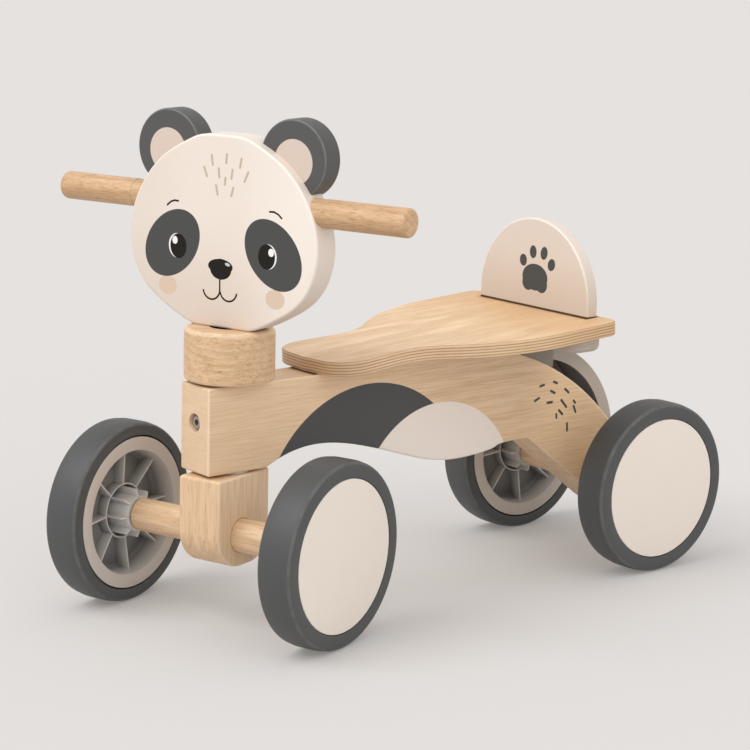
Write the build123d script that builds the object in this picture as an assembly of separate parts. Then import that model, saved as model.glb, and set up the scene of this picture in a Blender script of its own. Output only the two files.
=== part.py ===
from build123d import *
import math
import os

# A child's wooden balance bike with four wheels. Millimetres and degrees.
# Front is -Y, the rider's left is +X, +Z is up. The pieces are drawn about the point
# on the ground under the steering axis, with the steering straight. place_steered()
# turns the steering group, and every piece is moved at the end so that the origin
# lies on the ground under the middle of the bike.

# Steering
steer_angle = 17.3          # how far the steering stands turned towards the rider's left
steer_limit = 40.0          # travel to each side of straight ahead
running_clearance = 0.05    # radial, on every journal
end_float = 0.3             # axial play of anything that turns

# Wheels
wheel_radius = 75.0
wheel_width = 30.6
wheelbase = 398.1
axle_lead = 8.6             # the front axle lies this far ahead of the steering axis
front_track = 241.2         # over the outer faces of the tyres
rear_track = 207.0
tyre_corner = 6.0
tyre_thickness = 11.7
tyre_lip = 2.5              # how far the tyre's outer lip reaches in over the hub's rim
cap_recess = 1.0            # the cap lies this far below the tyre's side
cap_thickness = 2.5
cap_gap = 0.3
flange_width = 11.4         # the flat ring on the hub's inner side
hub_wall = 2.5
hub_floor_depth = 20.0      # from the flange ring to the floor of the dish
rim_wall = 3.0
rib_count = 8
rib_turn = -3.0             # the first rib's angle from the wheel's own Y axis
rib_thickness = 1.5
rib_depth_at_rim = 7.0      # from the flange ring to the rib's free edge
rib_depth_at_ring = 10.0
ring_radius = 23.0
ring_wall = 1.3
boss_radius = 15.0          # of the plain core round the bore
fin_radius = 20.6           # over the fins on the core
fin_thickness = 1.6
fin_bevel = 2.2             # length over which a fin's free end slopes down to the core
boss_projection = 5.4       # the boss stands out past the flange ring
shank_radius = 4.0          # shoulder screw that the wheel turns on
thread_radius = 3.0
thread_length = 25.0
screw_head_radius = 8.0
screw_head_height = 2.6
socket_radius = 2.5
socket_depth = 1.6
washer_thickness = 1.0
washer_margin = 1.0         # the washers' rims against the dowel's and the screw head's
axle_radius = 13.5          # wooden axle dowels
axle_end_round = 2.5

# Beam
beam_thickness = 38.4
beam_front = 33.0           # front face, ahead of the steering axis
beam_bottom = 125.5
beam_top = 196.0
beam_edge = 2.0
square_end = 24.0           # where the square front end passes into the arch
belly_wave = (              # parts of the way from the square end to the knee, and of the beam's height
    (0.18, 0.182),
    (0.318, 0.106),
    (0.474, -0.078),
    (0.622, -0.244),
    (0.728, -0.274),
    (0.86, -0.218),
)
knee_lead = 82.5            # the knee lies this far ahead of the rear axle
knee_drop = 11.5            # and this far below the beam's bottom
knee_round = 12.0
tail_setback = 29.0         # of the round tail's centre behind the rear axle
tail_drop = 10.0            # and below it
tail_radius = 28.0
crown_lead = 219.5          # the top edge leaves the seat board this far ahead of the rear axle
shoulder_lead = 84.5        # the shoulder lies this far ahead of the rear axle
shoulder_drop = 10.0        # and this far below the beam's top
flank_setback = 10.5        # the curved back edge ends this far behind the rear axle
flank_rise = 49.4           # and this far above it
pin_radius = 3.0
pin_depth = 2.0             # the axle pins lie this far inside their holes

# Seat, backrest, bridge and wheel guard
seat_front = 72.0
seat_slope = 4.0
seat_thickness = 12.0
seat_edge = 1.5
seat_nose = 50.5            # half widths of the board's outline before its corners are rounded
seat_waist = 41.5
seat_half_width = 93.5
seat_nose_length = 5.0      # the straight front edge falls back this far to the nose's corners
seat_waist_place = 90.0     # behind the seat's front
seat_hip_place = 153.0
seat_tail = 5.0             # the board reaches this far behind the backrest
seat_nose_corner = 27.0
seat_waist_round = 56.0
seat_hip_round = 148.0
seat_rear_corner = 11.0
seat_dowel_radius = 5.0
seat_dowel_length = 32.0
seat_dowel_reach = 8.0      # into the seat board
seat_dowel_places = (92.0, 122.0, 152.0)
backrest_lead = 66.1        # the backrest's front lies this far ahead of the rear axle
backrest_thickness = 12.0
backrest_radius = 69.0
backrest_shoulder = 9.5     # straight height below the half round
backrest_edge = 2.0
bridge_half_length = 80.0
bridge_lead = 90.5          # the bridge's front lies this far ahead of the rear axle
bridge_depth = 36.0
bridge_rise = 2.5           # of the arms' undersides above the beam's top
bridge_corner = 12.0
bridge_edge = 6.0
bridge_height = 24.0        # of the blank that is planed to the seat board's slope
bridge_foot_width = 34.0
bridge_screw_spread = 40.0
guard_inner_radius = 87.0
guard_depth = 13.0          # of its inner side wall
guard_outer_depth = 18.0    # of its outer side wall
guard_wall = 4.0
guard_shell = 3.0           # thickness over the tyre
guard_edge = 1.5
guard_inner_face = 60.0     # from the bike's centre plane
guard_side_clearance = 4.5  # between the outer side wall and the tyre
guard_stem_lead = 67.5      # the stem lies this far ahead of the rear axle
guard_stem_width = 30.0
guard_foot_length = 26.0
guard_foot_thickness = 5.0
guard_screw_length = 14.0
seat_screw_length = 20.0    # up through the bridge into the seat board
beam_screw_length = 45.0    # down through the bridge into the beam
backrest_screw_length = 37.0
backrest_screw_spread = 34.0

# Steering group
collar_radius = 36.1
collar_rise = 44.0          # of the collar's top above the beam's
collar_top_round = 5.0
collar_bottom_round = 3.0
cap_disc_radius = 16.5
cap_disc_thickness = 2.0
cap_disc_depth = 1.0        # the disc lies this far below the collar's top
post_radius = 11.0
post_hole_clearance = 1.0   # between the bushes
post_wall = 2.0
post_axle_gap = 2.5         # between the post's lower end and the front axle
post_cover = 10.0           # of the collar's wood above the post
bush_wall = 2.0
bush_length = 16.0
bush_flange = 4.0
bush_flange_thickness = 1.6
limit_bolt_tip_radius = 3.0
limit_bolt_head_radius = 5.0
limit_bolt_head_height = 5.0
limit_bolt_recess_radius = 7.5
limit_bolt_recess_depth = 7.0
insert_wall = 1.5
insert_length = 12.0
slot_clearance = 0.4
limit_bolt_drop = 6.5       # the bolt's recess lies this far below the upper bush
block_width = 40.0
block_front = 38.0          # ahead of the steering axis
block_length = 66.5
block_drop = 25.7           # the block's underside lies this far below the axles' centres
block_front_corner = 30.0
block_rear_corner = 24.0
block_edge = 2.5

# Head, ears and handlebar
head_thickness = 25.0
head_height = 151.3
head_half_width = 91.7
head_foot = 26.0            # half width of the flat that stands on the collar
head_rim = (                # (part of the half width, part of the height) from the foot to the top
    (0.53, 0.06),
    (0.835, 0.185),
    (1.0, 0.469),
    (0.84, 0.737),
    (0.583, 0.891),
    (0.345, 0.968),
)
head_edge = 2.0
ear_radius = 31.0
ear_thickness = 20.0
ear_spread = 60.3
ear_drop = 15.3             # the ears' centres lie this far below the top of the head
ear_setback = 9.5           # behind the head's front face
ear_edge = 2.0
ear_dowel_radius = 3.0
ear_dowel_length = 26.0
head_dowel_radius = 3.5
head_dowel_length = 44.0
head_dowel_spread = 22.5
handle_radius = 11.25
handle_root_radius = 10.95  # where a handle is sanded down to meet the head
handle_root_length = 1.3    # of that root outside the widest part of the head
handle_reach = 167.5        # from the steering axis to the end of each handle
handle_drop = 38.8          # the handles lie this far below the ears' centres
handle_end_round = 3.0
tenon_radius = 8.0
tenon_start = 45.0
handle_screw_spread = 65.0
wood_screw_head_radius = 4.5
wood_screw_radius = 2.25
handle_screw_length = 18.75

# Values worked out from those above
rear_axle = wheelbase - axle_lead
tail_center = (rear_axle + tail_setback, wheel_radius - tail_drop)
knee = (rear_axle - knee_lead, beam_bottom - knee_drop)
backrest_front = rear_axle - backrest_lead
seat_length = backrest_front + backrest_thickness + seat_tail - seat_front
bridge_front = rear_axle - bridge_lead
bridge_bottom = beam_top + bridge_rise
guard_stem = rear_axle - guard_stem_lead
guard_outer_face = rear_track / 2 + guard_side_clearance + guard_wall
limit_bolt_height = beam_top - bush_length - limit_bolt_recess_radius - limit_bolt_drop
grip_start = head_half_width + handle_root_length
hub_radius = wheel_radius - tyre_thickness
cap_face = wheel_width - cap_recess - cap_thickness
hub_web_back = hub_floor_depth + hub_wall
dish_radius = hub_radius - flange_width
axle_end = -(boss_projection + end_float + washer_thickness)
outer_washer = hub_web_back + end_float
screw_head = outer_washer + washer_thickness
front_hub_plane = front_track / 2 - wheel_width
rear_hub_plane = rear_track / 2 - wheel_width
bush_radius = post_radius + running_clearance + bush_wall
collar_top = beam_top + collar_rise
post_top = collar_top - post_cover
collar_bottom = beam_top + bush_flange_thickness + end_float
block_bottom = wheel_radius - block_drop
post_bottom = wheel_radius + axle_radius + post_axle_gap
block_top = beam_bottom - bush_flange_thickness - end_float
ear_height = collar_top + head_height - ear_drop
handle_height = ear_height - handle_drop
collar_pin_height = (collar_bottom + collar_top) / 2
block_pin_height = (post_bottom + block_top) / 2
head_front = head_thickness / 2
seat_underside = Plane(
    origin=(0, seat_front, beam_top),
    x_dir=(1, 0, 0),
    z_dir=(0, -math.sin(math.radians(seat_slope)), math.cos(math.radians(seat_slope))),
)
seat_plane = seat_underside.offset(seat_thickness)


def front_reach():
    """Distance from the steering axis to the foremost point of the turned front wheels."""
    turn = math.radians(steer_angle)
    core_radius = wheel_radius - tyre_corner
    core_half_width = wheel_width / 2 - tyre_corner
    middle = (front_track - wheel_width) / 2
    centre = axle_lead * math.cos(turn) + middle * math.sin(turn)
    return centre + core_radius * math.cos(turn) + core_half_width * math.sin(turn) + tyre_corner


rear_reach = rear_axle + max(wheel_radius, guard_inner_radius + guard_depth)
middle_of_bike = (rear_reach - front_reach()) / 2


def underside_height(y):
    """Height of the seat board's underside on the centre plane."""
    return beam_top + (y - seat_front) * math.tan(math.radians(seat_slope))


def cylinder_x(radius, x_from, x_to, y=0.0, z=0.0):
    """A round bar along X."""
    bar = Cylinder(radius, abs(x_to - x_from))
    return Pos((x_from + x_to) / 2, y, z) * Rot(0, 90, 0) * bar


def cylinder_y(radius, y_from, y_to, x=0.0, z=0.0):
    """A round bar along Y."""
    bar = Cylinder(radius, abs(y_to - y_from))
    return Pos(x, (y_from + y_to) / 2, z) * Rot(90, 0, 0) * bar


def cylinder_z(radius, z_from, z_to, x=0.0, y=0.0):
    """A round bar along Z."""
    bar = Cylinder(radius, abs(z_to - z_from))
    return Pos(x, y, (z_from + z_to) / 2) * bar


def revolve_about_x(points):
    """Turn a closed outline of (distance along X, radius) points about the X axis."""
    outline = make_face(Polyline(*points, close=True))
    return revolve(outline, Axis.X, 360)


def cut(piece, *tools):
    """Take the given solids out of a piece."""
    for tool in tools:
        piece = piece - tool
    return piece


# ---------------------------------------------------------------- wheels
# Each wheel is drawn on the X axis with the hub's flange ring in the plane x = 0 and
# its outer side towards +X. The shoulder screw and washers stay with the axle.

def tyre():
    """Rubber ring with rounded corners and a lip over the hub's outer rim."""
    lip_radius = hub_radius - tyre_lip
    ring = revolve_about_x([
        (0, hub_radius),
        (0, wheel_radius),
        (wheel_width, wheel_radius),
        (wheel_width, lip_radius),
        (cap_face, lip_radius),
        (cap_face, hub_radius),
    ])
    tread = ring.edges().filter_by(GeomType.CIRCLE)
    corners = [edge for edge in tread if abs(edge.radius - wheel_radius) < 0.01]
    return fillet(corners, tyre_corner)


def finned_boss():
    """Round core about the bore with radial fins, whose free ends slope down to the core."""
    boss = cylinder_x(boss_radius, -boss_projection, hub_web_back)
    fin_outline = make_face(Polyline(
        (-boss_projection, boss_radius - fin_thickness),
        (-boss_projection, boss_radius),
        (fin_bevel - boss_projection, fin_radius),
        (hub_floor_depth + hub_wall / 2, fin_radius),
        (hub_floor_depth + hub_wall / 2, boss_radius - fin_thickness),
        close=True,
    ))
    return boss + around_hub(extrude(fin_outline, fin_thickness / 2, both=True))


def around_hub(rib):
    """A rib or fin at each of the hub's ribs' angles."""
    return [Rot(rib_turn + number * 360 / rib_count, 0, 0) * rib for number in range(rib_count)]


def hub():
    """Moulded hub: rim, flange ring, dish with radial ribs, inner ring and finned boss."""
    shell = revolve_about_x([
        (0, dish_radius),
        (0, hub_radius),
        (cap_face, hub_radius),
        (cap_face, hub_radius - 2 * rim_wall),
        (cap_face - rim_wall, hub_radius - 2 * rim_wall),
        (cap_face - rim_wall, hub_radius - rim_wall),
        (rim_wall, hub_radius - rim_wall),
        (rim_wall, dish_radius + rim_wall),
        (hub_web_back - rim_wall, dish_radius),
        (hub_web_back, dish_radius - rim_wall),
        (hub_web_back, shank_radius + running_clearance),
        (hub_floor_depth, shank_radius + running_clearance),
        (hub_floor_depth, dish_radius - 2 * rim_wall),
        (hub_floor_depth - rim_wall, dish_radius - rim_wall),
    ])
    ring = cylinder_x(ring_radius, rib_depth_at_ring, hub_web_back)
    ring = ring - cylinder_x(ring_radius - ring_wall, rib_depth_at_ring, hub_web_back)
    rib_outline = make_face(Polyline(
        (rib_depth_at_ring, ring_radius - ring_wall / 2),
        (rib_depth_at_rim, dish_radius),
        (hub_floor_depth - rim_wall, dish_radius),
        (hub_web_back - hub_wall / 2, dish_radius - rim_wall),
        (hub_web_back - hub_wall / 2, ring_radius - ring_wall / 2),
        close=True,
    ))
    rib = extrude(rib_outline, rib_thickness / 2, both=True)
    body = shell + ring + finned_boss() + around_hub(rib)
    bore = cylinder_x(shank_radius + running_clearance, -boss_projection, hub_web_back)
    return body - bore


def hub_cap():
    """Flat disc glued to the hub's outer rim inside the tyre's lip."""
    radius = hub_radius - tyre_lip - cap_gap
    disc = cylinder_x(radius, cap_face, cap_face + cap_thickness)
    face = disc.faces().sort_by(Axis.X)[-1]
    return fillet(face.edges(), cap_thickness / 3)


def axle_screw():
    """Shoulder screw: thread in the dowel, plain shank through the hub, flat round head."""
    thread = cylinder_x(thread_radius, axle_end - thread_length, axle_end)
    shank = cylinder_x(shank_radius, axle_end, screw_head)
    head = cylinder_x(screw_head_radius, screw_head, screw_head + screw_head_height)
    rim = head.faces().sort_by(Axis.X)[-1].edges()
    head = fillet(rim, screw_head_height / 3)
    head_face = Plane.YZ.offset(screw_head + screw_head_height)
    hexagon = extrude(head_face * RegularPolygon(socket_radius, 6), -socket_depth)
    return thread + shank + head - hexagon


def axle_washers():
    """Inner washer against the dowel's end and outer washer under the screw's head."""
    bore = cylinder_x(shank_radius, axle_end, screw_head)
    inner = cylinder_x(axle_radius - washer_margin, axle_end, axle_end + washer_thickness)
    outer = cylinder_x(screw_head_radius + washer_margin, outer_washer, screw_head)
    return [inner - bore, outer - bore]


def at_wheel(piece, side, hub_plane, axle_y):
    """Carry a piece from the wheel's own axis to its place on the left or right."""
    place = Pos(side * hub_plane, axle_y, wheel_radius)
    if side < 0:
        place = place * Rot(0, 0, 180)
    return place * piece


def axle_dowel(hub_plane, axle_y):
    """Wooden dowel that carries a pair of wheels, with rounded ends."""
    half_length = hub_plane + axle_end
    dowel = cylinder_x(axle_radius, -half_length, half_length)
    ends = dowel.edges().filter_by(GeomType.CIRCLE)
    dowel = fillet(ends, axle_end_round)
    return Pos(0, axle_y, wheel_radius) * dowel


# ---------------------------------------------------------------- frame

def tail_tangent(point, side):
    """Where a line from a point touches the round tail, above (1) or below (-1) its centre."""
    along = tail_center[0] - point[0]
    up = tail_center[1] - point[1]
    angle = math.atan2(up, along) + side * math.asin(tail_radius / math.hypot(along, up))
    length = math.sqrt(along**2 + up**2 - tail_radius**2)
    return (point[0] + length * math.cos(angle), point[1] + length * math.sin(angle))


def beam_outline():
    """Side outline of the beam: square front end, waved belly and the arm to the rear axle."""
    front_top = (-beam_front, beam_top)
    front_bottom = (-beam_front, beam_bottom)
    square_corner = (square_end, beam_bottom)
    arm_end = tail_tangent(knee, -1)
    back = (rear_axle + flank_setback, wheel_radius + flank_rise)
    back_start = tail_tangent(back, 1)
    lobe_end = (
        tail_center[0] + tail_radius * math.sqrt(0.5),
        tail_center[1] - tail_radius * math.sqrt(0.5),
    )
    shoulder = (rear_axle - shoulder_lead, beam_top - shoulder_drop)
    seat_end = (rear_axle - crown_lead, underside_height(rear_axle - crown_lead))
    along_seat = (math.cos(math.radians(seat_slope)), math.sin(math.radians(seat_slope)))
    down_tail = (back_start[0] - back[0], back_start[1] - back[1])
    length = knee[0] - square_end
    height = beam_top - beam_bottom
    belly = [(square_end + length * along, beam_bottom + height * up) for along, up in belly_wave]
    outline = make_face([
        Line(front_top, front_bottom),
        Line(front_bottom, square_corner),
        Spline(square_corner, *belly, knee, tangents=[(1, 0.55), (1, 0)]),
        Line(knee, arm_end),
        ThreePointArc(arm_end, lobe_end, back_start),
        Line(back_start, back),
        Spline(seat_end, shoulder, back, tangents=[along_seat, down_tail]),
        Line(seat_end, (seat_front, beam_top)),
        Line((seat_front, beam_top), front_top),
    ])
    turn = outline.vertices().sort_by_distance(Vector(*knee))[0]
    return fillet(turn, knee_round)


def beam_prism():
    """The beam with sharp edges."""
    return extrude(Plane.YZ * beam_outline(), beam_thickness / 2, both=True)


def beam_blank():
    """The beam before drilling, with rounded edges."""
    blank = beam_prism()
    edges = [edge for face in blank.faces().filter_by(Axis.X) for edge in face.edges()]
    edges += blank.faces().sort_by(Axis.Y)[0].edges().filter_by(Axis.X)
    return fillet(edges, beam_edge)


def steering_bush(upper):
    """Flanged plastic bush pressed into the beam at the top or the bottom."""
    length = bush_length + bush_flange_thickness
    sleeve = cylinder_z(bush_radius, 0, bush_length)
    flange = cylinder_z(bush_radius + bush_flange, -bush_flange_thickness, 0)
    bore = cylinder_z(post_radius + running_clearance, -length, length)
    bush = sleeve + flange - bore
    if upper:
        return Pos(0, 0, beam_top) * Rot(180, 0, 0) * bush
    return Pos(0, 0, beam_bottom) * bush


def limit_bolt():
    """Socket bolt whose tip stands in the slot of the steering post and limits its turn."""
    head_back = -beam_front + limit_bolt_recess_depth
    tip = -(post_radius - post_wall)
    face = head_back - limit_bolt_head_height
    shank = cylinder_y(limit_bolt_tip_radius, head_back, tip, z=limit_bolt_height)
    head = cylinder_y(limit_bolt_head_radius, face, head_back, z=limit_bolt_height)
    head_front = Plane(origin=(0, face, limit_bolt_height), x_dir=(1, 0, 0), z_dir=(0, -1, 0))
    hexagon = extrude(head_front * RegularPolygon(socket_radius, 6), -socket_depth)
    return shank + head - hexagon


def limit_bolt_insert():
    """Threaded sleeve that holds the limit bolt in the beam."""
    front = limit_bolt_recess_depth - beam_front
    back = front + insert_length
    sleeve = cylinder_y(limit_bolt_tip_radius + insert_wall, front, back, z=limit_bolt_height)
    return sleeve - cylinder_y(limit_bolt_tip_radius, front, back, z=limit_bolt_height)


def seat_dowels():
    """Glued dowels between the beam and the seat board, square to the board."""
    dowels = []
    for y in seat_dowel_places:
        along = (y - seat_front) / math.cos(math.radians(seat_slope))
        place = seat_underside * Pos(0, along, seat_dowel_reach - seat_dowel_length / 2)
        dowels.append(place * Cylinder(seat_dowel_radius, seat_dowel_length))
    return dowels


def wood_screw(length):
    """Countersunk screw with its head's top at the origin and its point towards -Z."""
    cone_height = wood_screw_head_radius - wood_screw_radius
    cone = Pos(0, 0, -cone_height / 2) * Cone(wood_screw_radius, wood_screw_head_radius, cone_height)
    shank = cylinder_z(wood_screw_radius, -length, -cone_height)
    return cone + shank


def seat_board():
    """Board of plywood: narrow rounded nose, waist and a wide rear end."""
    corners = [
        ((seat_nose, seat_nose_length), seat_nose_corner),
        ((seat_waist, seat_waist_place), seat_waist_round),
        ((seat_half_width, seat_hip_place), seat_hip_round),
        ((seat_half_width, seat_length), seat_rear_corner),
    ]
    right = [point for point, radius in corners]
    left = [(-x, y) for x, y in reversed(right)]
    outline = make_face(Polyline((0, 0), *right, *left, close=True))
    for (x, y), radius in corners:
        for side in (-1, 1):
            corner = outline.vertices().sort_by_distance(Vector(side * x, y))[0]
            outline = fillet(corner, radius)
    board = extrude(outline, -seat_thickness)
    rims = [edge for face in board.faces().filter_by(Axis.Z) for edge in face.edges()]
    return seat_plane * fillet(rims, seat_edge)


def backrest():
    """Half-round plate that stands on the seat board, its foot planed to the board's slope."""
    foot = underside_height(backrest_front) + seat_thickness
    shoulder = foot + backrest_shoulder
    low = foot - 2 * backrest_edge
    outline = make_face([
        Line((-backrest_radius, shoulder), (-backrest_radius, low)),
        Line((-backrest_radius, low), (backrest_radius, low)),
        Line((backrest_radius, low), (backrest_radius, shoulder)),
        ThreePointArc(
            (backrest_radius, shoulder),
            (0, shoulder + backrest_radius),
            (-backrest_radius, shoulder),
        ),
    ])
    plate = extrude(Plane.XZ * outline, -backrest_thickness)
    rims = [edge for face in plate.faces().filter_by(Axis.Y) for edge in face.edges()]
    plate = Pos(0, backrest_front, 0) * fillet(rims, backrest_edge)
    return split(plate, bisect_by=seat_plane, keep=Keep.TOP)


def backrest_screws():
    """Two screws up through the seat board into the backrest."""
    screws = []
    y = backrest_front + backrest_thickness / 2
    along = (y - seat_front) / math.cos(math.radians(seat_slope))
    for x in (-backrest_screw_spread, backrest_screw_spread):
        place = seat_underside * Pos(x, along, 0) * Rot(180, 0, 0)
        screws.append(place * wood_screw(backrest_screw_length))
    return screws


def seat_bridge():
    """Cross piece under the rear of the seat: two arms and a foot on the beam."""
    bar = Box(
        2 * bridge_half_length,
        bridge_depth,
        bridge_height,
        align=(Align.CENTER, Align.MIN, Align.MIN),
    )
    bar = fillet(bar.edges().filter_by(Axis.Z), bridge_corner)
    bar = fillet(bar.faces().sort_by(Axis.Z)[0].edges(), bridge_edge)
    foot = Box(
        bridge_foot_width,
        bridge_depth,
        2 * bridge_height,
        align=(Align.CENTER, Align.MIN, Align.CENTER),
    )
    bridge = Pos(0, bridge_front, bridge_bottom) * (bar + foot)
    bridge = split(bridge, bisect_by=seat_underside, keep=Keep.BOTTOM)
    return bridge - beam_prism()


def bridge_screws():
    """Two screws up into the seat board and one down into the beam."""
    y = bridge_front + bridge_depth / 2
    screws = [Pos(0, y, underside_height(y)) * wood_screw(beam_screw_length)]
    for x in (-bridge_screw_spread, bridge_screw_spread):
        screws.append(Pos(x, y, bridge_bottom) * Rot(180, 0, 0) * wood_screw(seat_screw_length))
    return screws


def wheel_guard():
    """Moulded guard over the right rear wheel, hung by a stem from a foot under the bridge."""
    outer_radius = guard_inner_radius + guard_depth
    inner = -guard_inner_face
    outer = -guard_outer_face
    section = make_face(Polyline(
        (inner, guard_inner_radius),
        (inner, outer_radius),
        (outer, outer_radius),
        (outer, outer_radius - guard_outer_depth),
        (outer + guard_wall, outer_radius - guard_outer_depth),
        (outer + guard_wall, outer_radius - guard_shell),
        (inner - guard_wall, outer_radius - guard_shell),
        (inner - guard_wall, guard_inner_radius),
        close=True,
    ))
    end_angle = math.acos(-guard_stem_lead / outer_radius)
    arch = revolve(section, Axis.X, math.degrees(end_angle))
    arcs = arch.edges().filter_by(GeomType.CIRCLE)
    arch = fillet([arc for arc in arcs if abs(arc.radius - outer_radius) < guard_edge], guard_edge)
    stem_rear = guard_stem_width / 2 - guard_stem_lead
    stem_top = bridge_bottom - wheel_radius
    stem = Plane.YZ * make_face(Polyline(
        (stem_rear - guard_stem_width, stem_top),
        (-guard_stem_lead, outer_radius * math.sin(end_angle)),
        (stem_rear, math.sqrt(outer_radius**2 - stem_rear**2)),
        (stem_rear, stem_top),
        close=True,
    ))
    stem = Pos(inner - guard_wall, 0, 0) * extrude(stem, guard_wall)
    return Pos(0, rear_axle, wheel_radius) * (arch + stem) + guard_foot()


def guard_foot():
    """Flat foot of the guard against the bridge's underside."""
    front = guard_stem - guard_stem_width / 2
    return Pos(-guard_inner_face - guard_wall, front, bridge_bottom) * Box(
        guard_foot_length,
        bridge_front + bridge_depth - front,
        guard_foot_thickness,
        align=(Align.MIN, Align.MIN, Align.MAX),
    )


def guard_screws():
    """The screw through the guard's foot into the bridge's arm."""
    x = guard_foot_length / 2 - guard_wall - guard_inner_face
    z = bridge_bottom - guard_foot_thickness
    return [Pos(x, guard_stem, z) * Rot(180, 0, 0) * wood_screw(guard_screw_length)]


# ---------------------------------------------------------------- steering group

def steering_post():
    """Steel tube with a slot for the limit bolt."""
    inner = post_radius - post_wall
    tube = cylinder_z(post_radius, post_bottom, post_top) - cylinder_z(inner, post_bottom, post_top)
    half_height = limit_bolt_tip_radius + slot_clearance
    half_angle = steer_limit + math.degrees(math.asin(half_height / inner))
    window = Plane.XZ * Pos(post_radius, limit_bolt_height) * Rectangle(4 * post_wall, 2 * half_height)
    sector = revolve(window, Axis.Z, 2 * half_angle)
    return tube - Rot(0, 0, -90 - half_angle) * sector


def collar():
    """Turned wooden collar with a round recess in its top."""
    ring = cylinder_z(collar_radius, collar_bottom, collar_top)
    top = ring.edges().filter_by(GeomType.CIRCLE).sort_by(Axis.Z)[-1]
    ring = fillet(top, collar_top_round)
    bottom = ring.edges().filter_by(GeomType.CIRCLE).sort_by(Axis.Z)[0]
    ring = fillet(bottom, collar_bottom_round)
    recess_bottom = collar_top - cap_disc_depth - cap_disc_thickness
    ring = ring - cylinder_z(cap_disc_radius, recess_bottom, collar_top)
    return ring - cylinder_z(post_radius, collar_bottom, recess_bottom)


def cap_disc():
    """Dark disc that closes the collar's bore."""
    top = collar_top - cap_disc_depth
    return cylinder_z(cap_disc_radius, top - cap_disc_thickness, top)


def front_block():
    """Wooden block under the beam that carries the front axle, round at its lower corners."""
    front = -block_front
    rear = front + block_length
    side = make_face(Polyline(
        (front, block_bottom),
        (rear, block_bottom),
        (rear, block_top),
        (front, block_top),
        close=True,
    ))
    lower = side.vertices().sort_by(Axis.Y)[:2].sort_by(Axis.X)
    side = fillet(lower[0], block_front_corner)
    lower = side.vertices().sort_by_distance(Vector(rear, block_bottom))[0]
    side = fillet(lower, block_rear_corner)
    block = extrude(Plane.YZ * side, block_width / 2, both=True)
    edges = [edge for face in block.faces().filter_by(Axis.X) for edge in face.edges()]
    edges += block.faces().sort_by(Axis.Z)[-1].edges().filter_by(Axis.X)
    block = fillet(edges, block_edge)
    return block - cylinder_z(post_radius, post_bottom, block_top)


def post_pins():
    """Cross pins that lock the post in the collar and in the front block."""
    block_rear = block_length - block_front
    return [
        cylinder_y(pin_radius, -2 * post_radius, collar_radius - pin_depth, z=collar_pin_height),
        cylinder_y(pin_radius, -2 * post_radius, block_rear - pin_depth, z=block_pin_height),
    ]


def head_outline():
    """Broad rounded outline of the head, with a flat foot on the collar."""
    rim = [(head_half_width * across, collar_top + head_height * up) for across, up in head_rim]
    top = (0, collar_top + head_height)
    half = Spline((head_foot, collar_top), *rim, top, tangents=[(1, 0.2), (-1, 0)])
    foot = Line((-head_foot, collar_top), (head_foot, collar_top))
    return make_face([foot, half, mirror(half, Plane.YZ)])


def head_prism():
    """The head with sharp edges."""
    prism = extrude(Plane.XZ * head_outline(), -head_thickness)
    return Pos(0, -head_front, 0) * prism


def head():
    """Thick plate cut to the outline of an animal's head."""
    plate = head_prism()
    rims = [edge for face in plate.faces().filter_by(Axis.Y) for edge in face.edges()]
    return fillet(rims, head_edge)


def ear(side):
    """Round disc scribed to the head's rim."""
    front = ear_setback - head_front
    disc = cylinder_y(ear_radius, front, front + ear_thickness, side * ear_spread, ear_height)
    rims = disc.edges().filter_by(GeomType.CIRCLE)
    disc = fillet(rims, ear_edge)
    return disc - head_prism()


def ear_dowels():
    """Glued dowels from the head's rim into the ears."""
    dowels = []
    y = (ear_setback + head_thickness) / 2 - head_front      # the middle of what the ear and head share
    for side in (-1, 1):
        lean = side * 45
        place = Pos(side * ear_spread, y, ear_height) * Rot(0, lean, 0)
        dowels.append(place * Cylinder(ear_dowel_radius, ear_dowel_length))
    return dowels


def head_dowels():
    """Glued dowels that stand the head on the collar."""
    return [
        cylinder_z(
            head_dowel_radius,
            collar_top - head_dowel_length / 2,
            collar_top + head_dowel_length / 2,
            side * head_dowel_spread,
        )
        for side in (-1, 1)
    ]


def tenon(side):
    """The thinner end of a handle, glued into the head."""
    return cylinder_x(tenon_radius, side * tenon_start, side * grip_start, 0, handle_height)


def handle(side):
    """Wooden handle with a rounded end, sanded down to the head's rim, and a tenon."""
    grip = cylinder_x(handle_radius, side * grip_start, side * handle_reach, 0, handle_height)
    end = grip.edges().filter_by(GeomType.CIRCLE).sort_by(Axis.X)[-1 if side > 0 else 0]
    root = cylinder_x(handle_root_radius, 0, side * grip_start, 0, handle_height)
    return fillet(end, handle_end_round) + (root - head_prism()) + tenon(side)


def handle_screws():
    """Screws from the head's back that lock the handles' tenons."""
    place = Rot(-90, 0, 0) * wood_screw(handle_screw_length)
    return [Pos(side * handle_screw_spread, head_front, handle_height) * place for side in (-1, 1)]


# ---------------------------------------------------------------- assembly

def front_axle_pin(start):
    """Pin, or its hole, up from the block's underside into the front axle."""
    return cylinder_z(pin_radius, block_bottom + start, wheel_radius + pin_radius, 0, -axle_lead)


def rear_axle_pin(start):
    """Pin, or its hole, forwards from the tail's end into the rear axle."""
    end = tail_center[0] + tail_radius - start
    return cylinder_y(pin_radius, rear_axle - pin_radius, end, z=wheel_radius)


def thread_holes(hub_plane, axle_y):
    """Holes in an axle's ends for the shoulder screws."""
    hole = cylinder_x(thread_radius, axle_end - thread_length, axle_end)
    return [at_wheel(hole, side, hub_plane, axle_y) for side in (-1, 1)]


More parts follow.
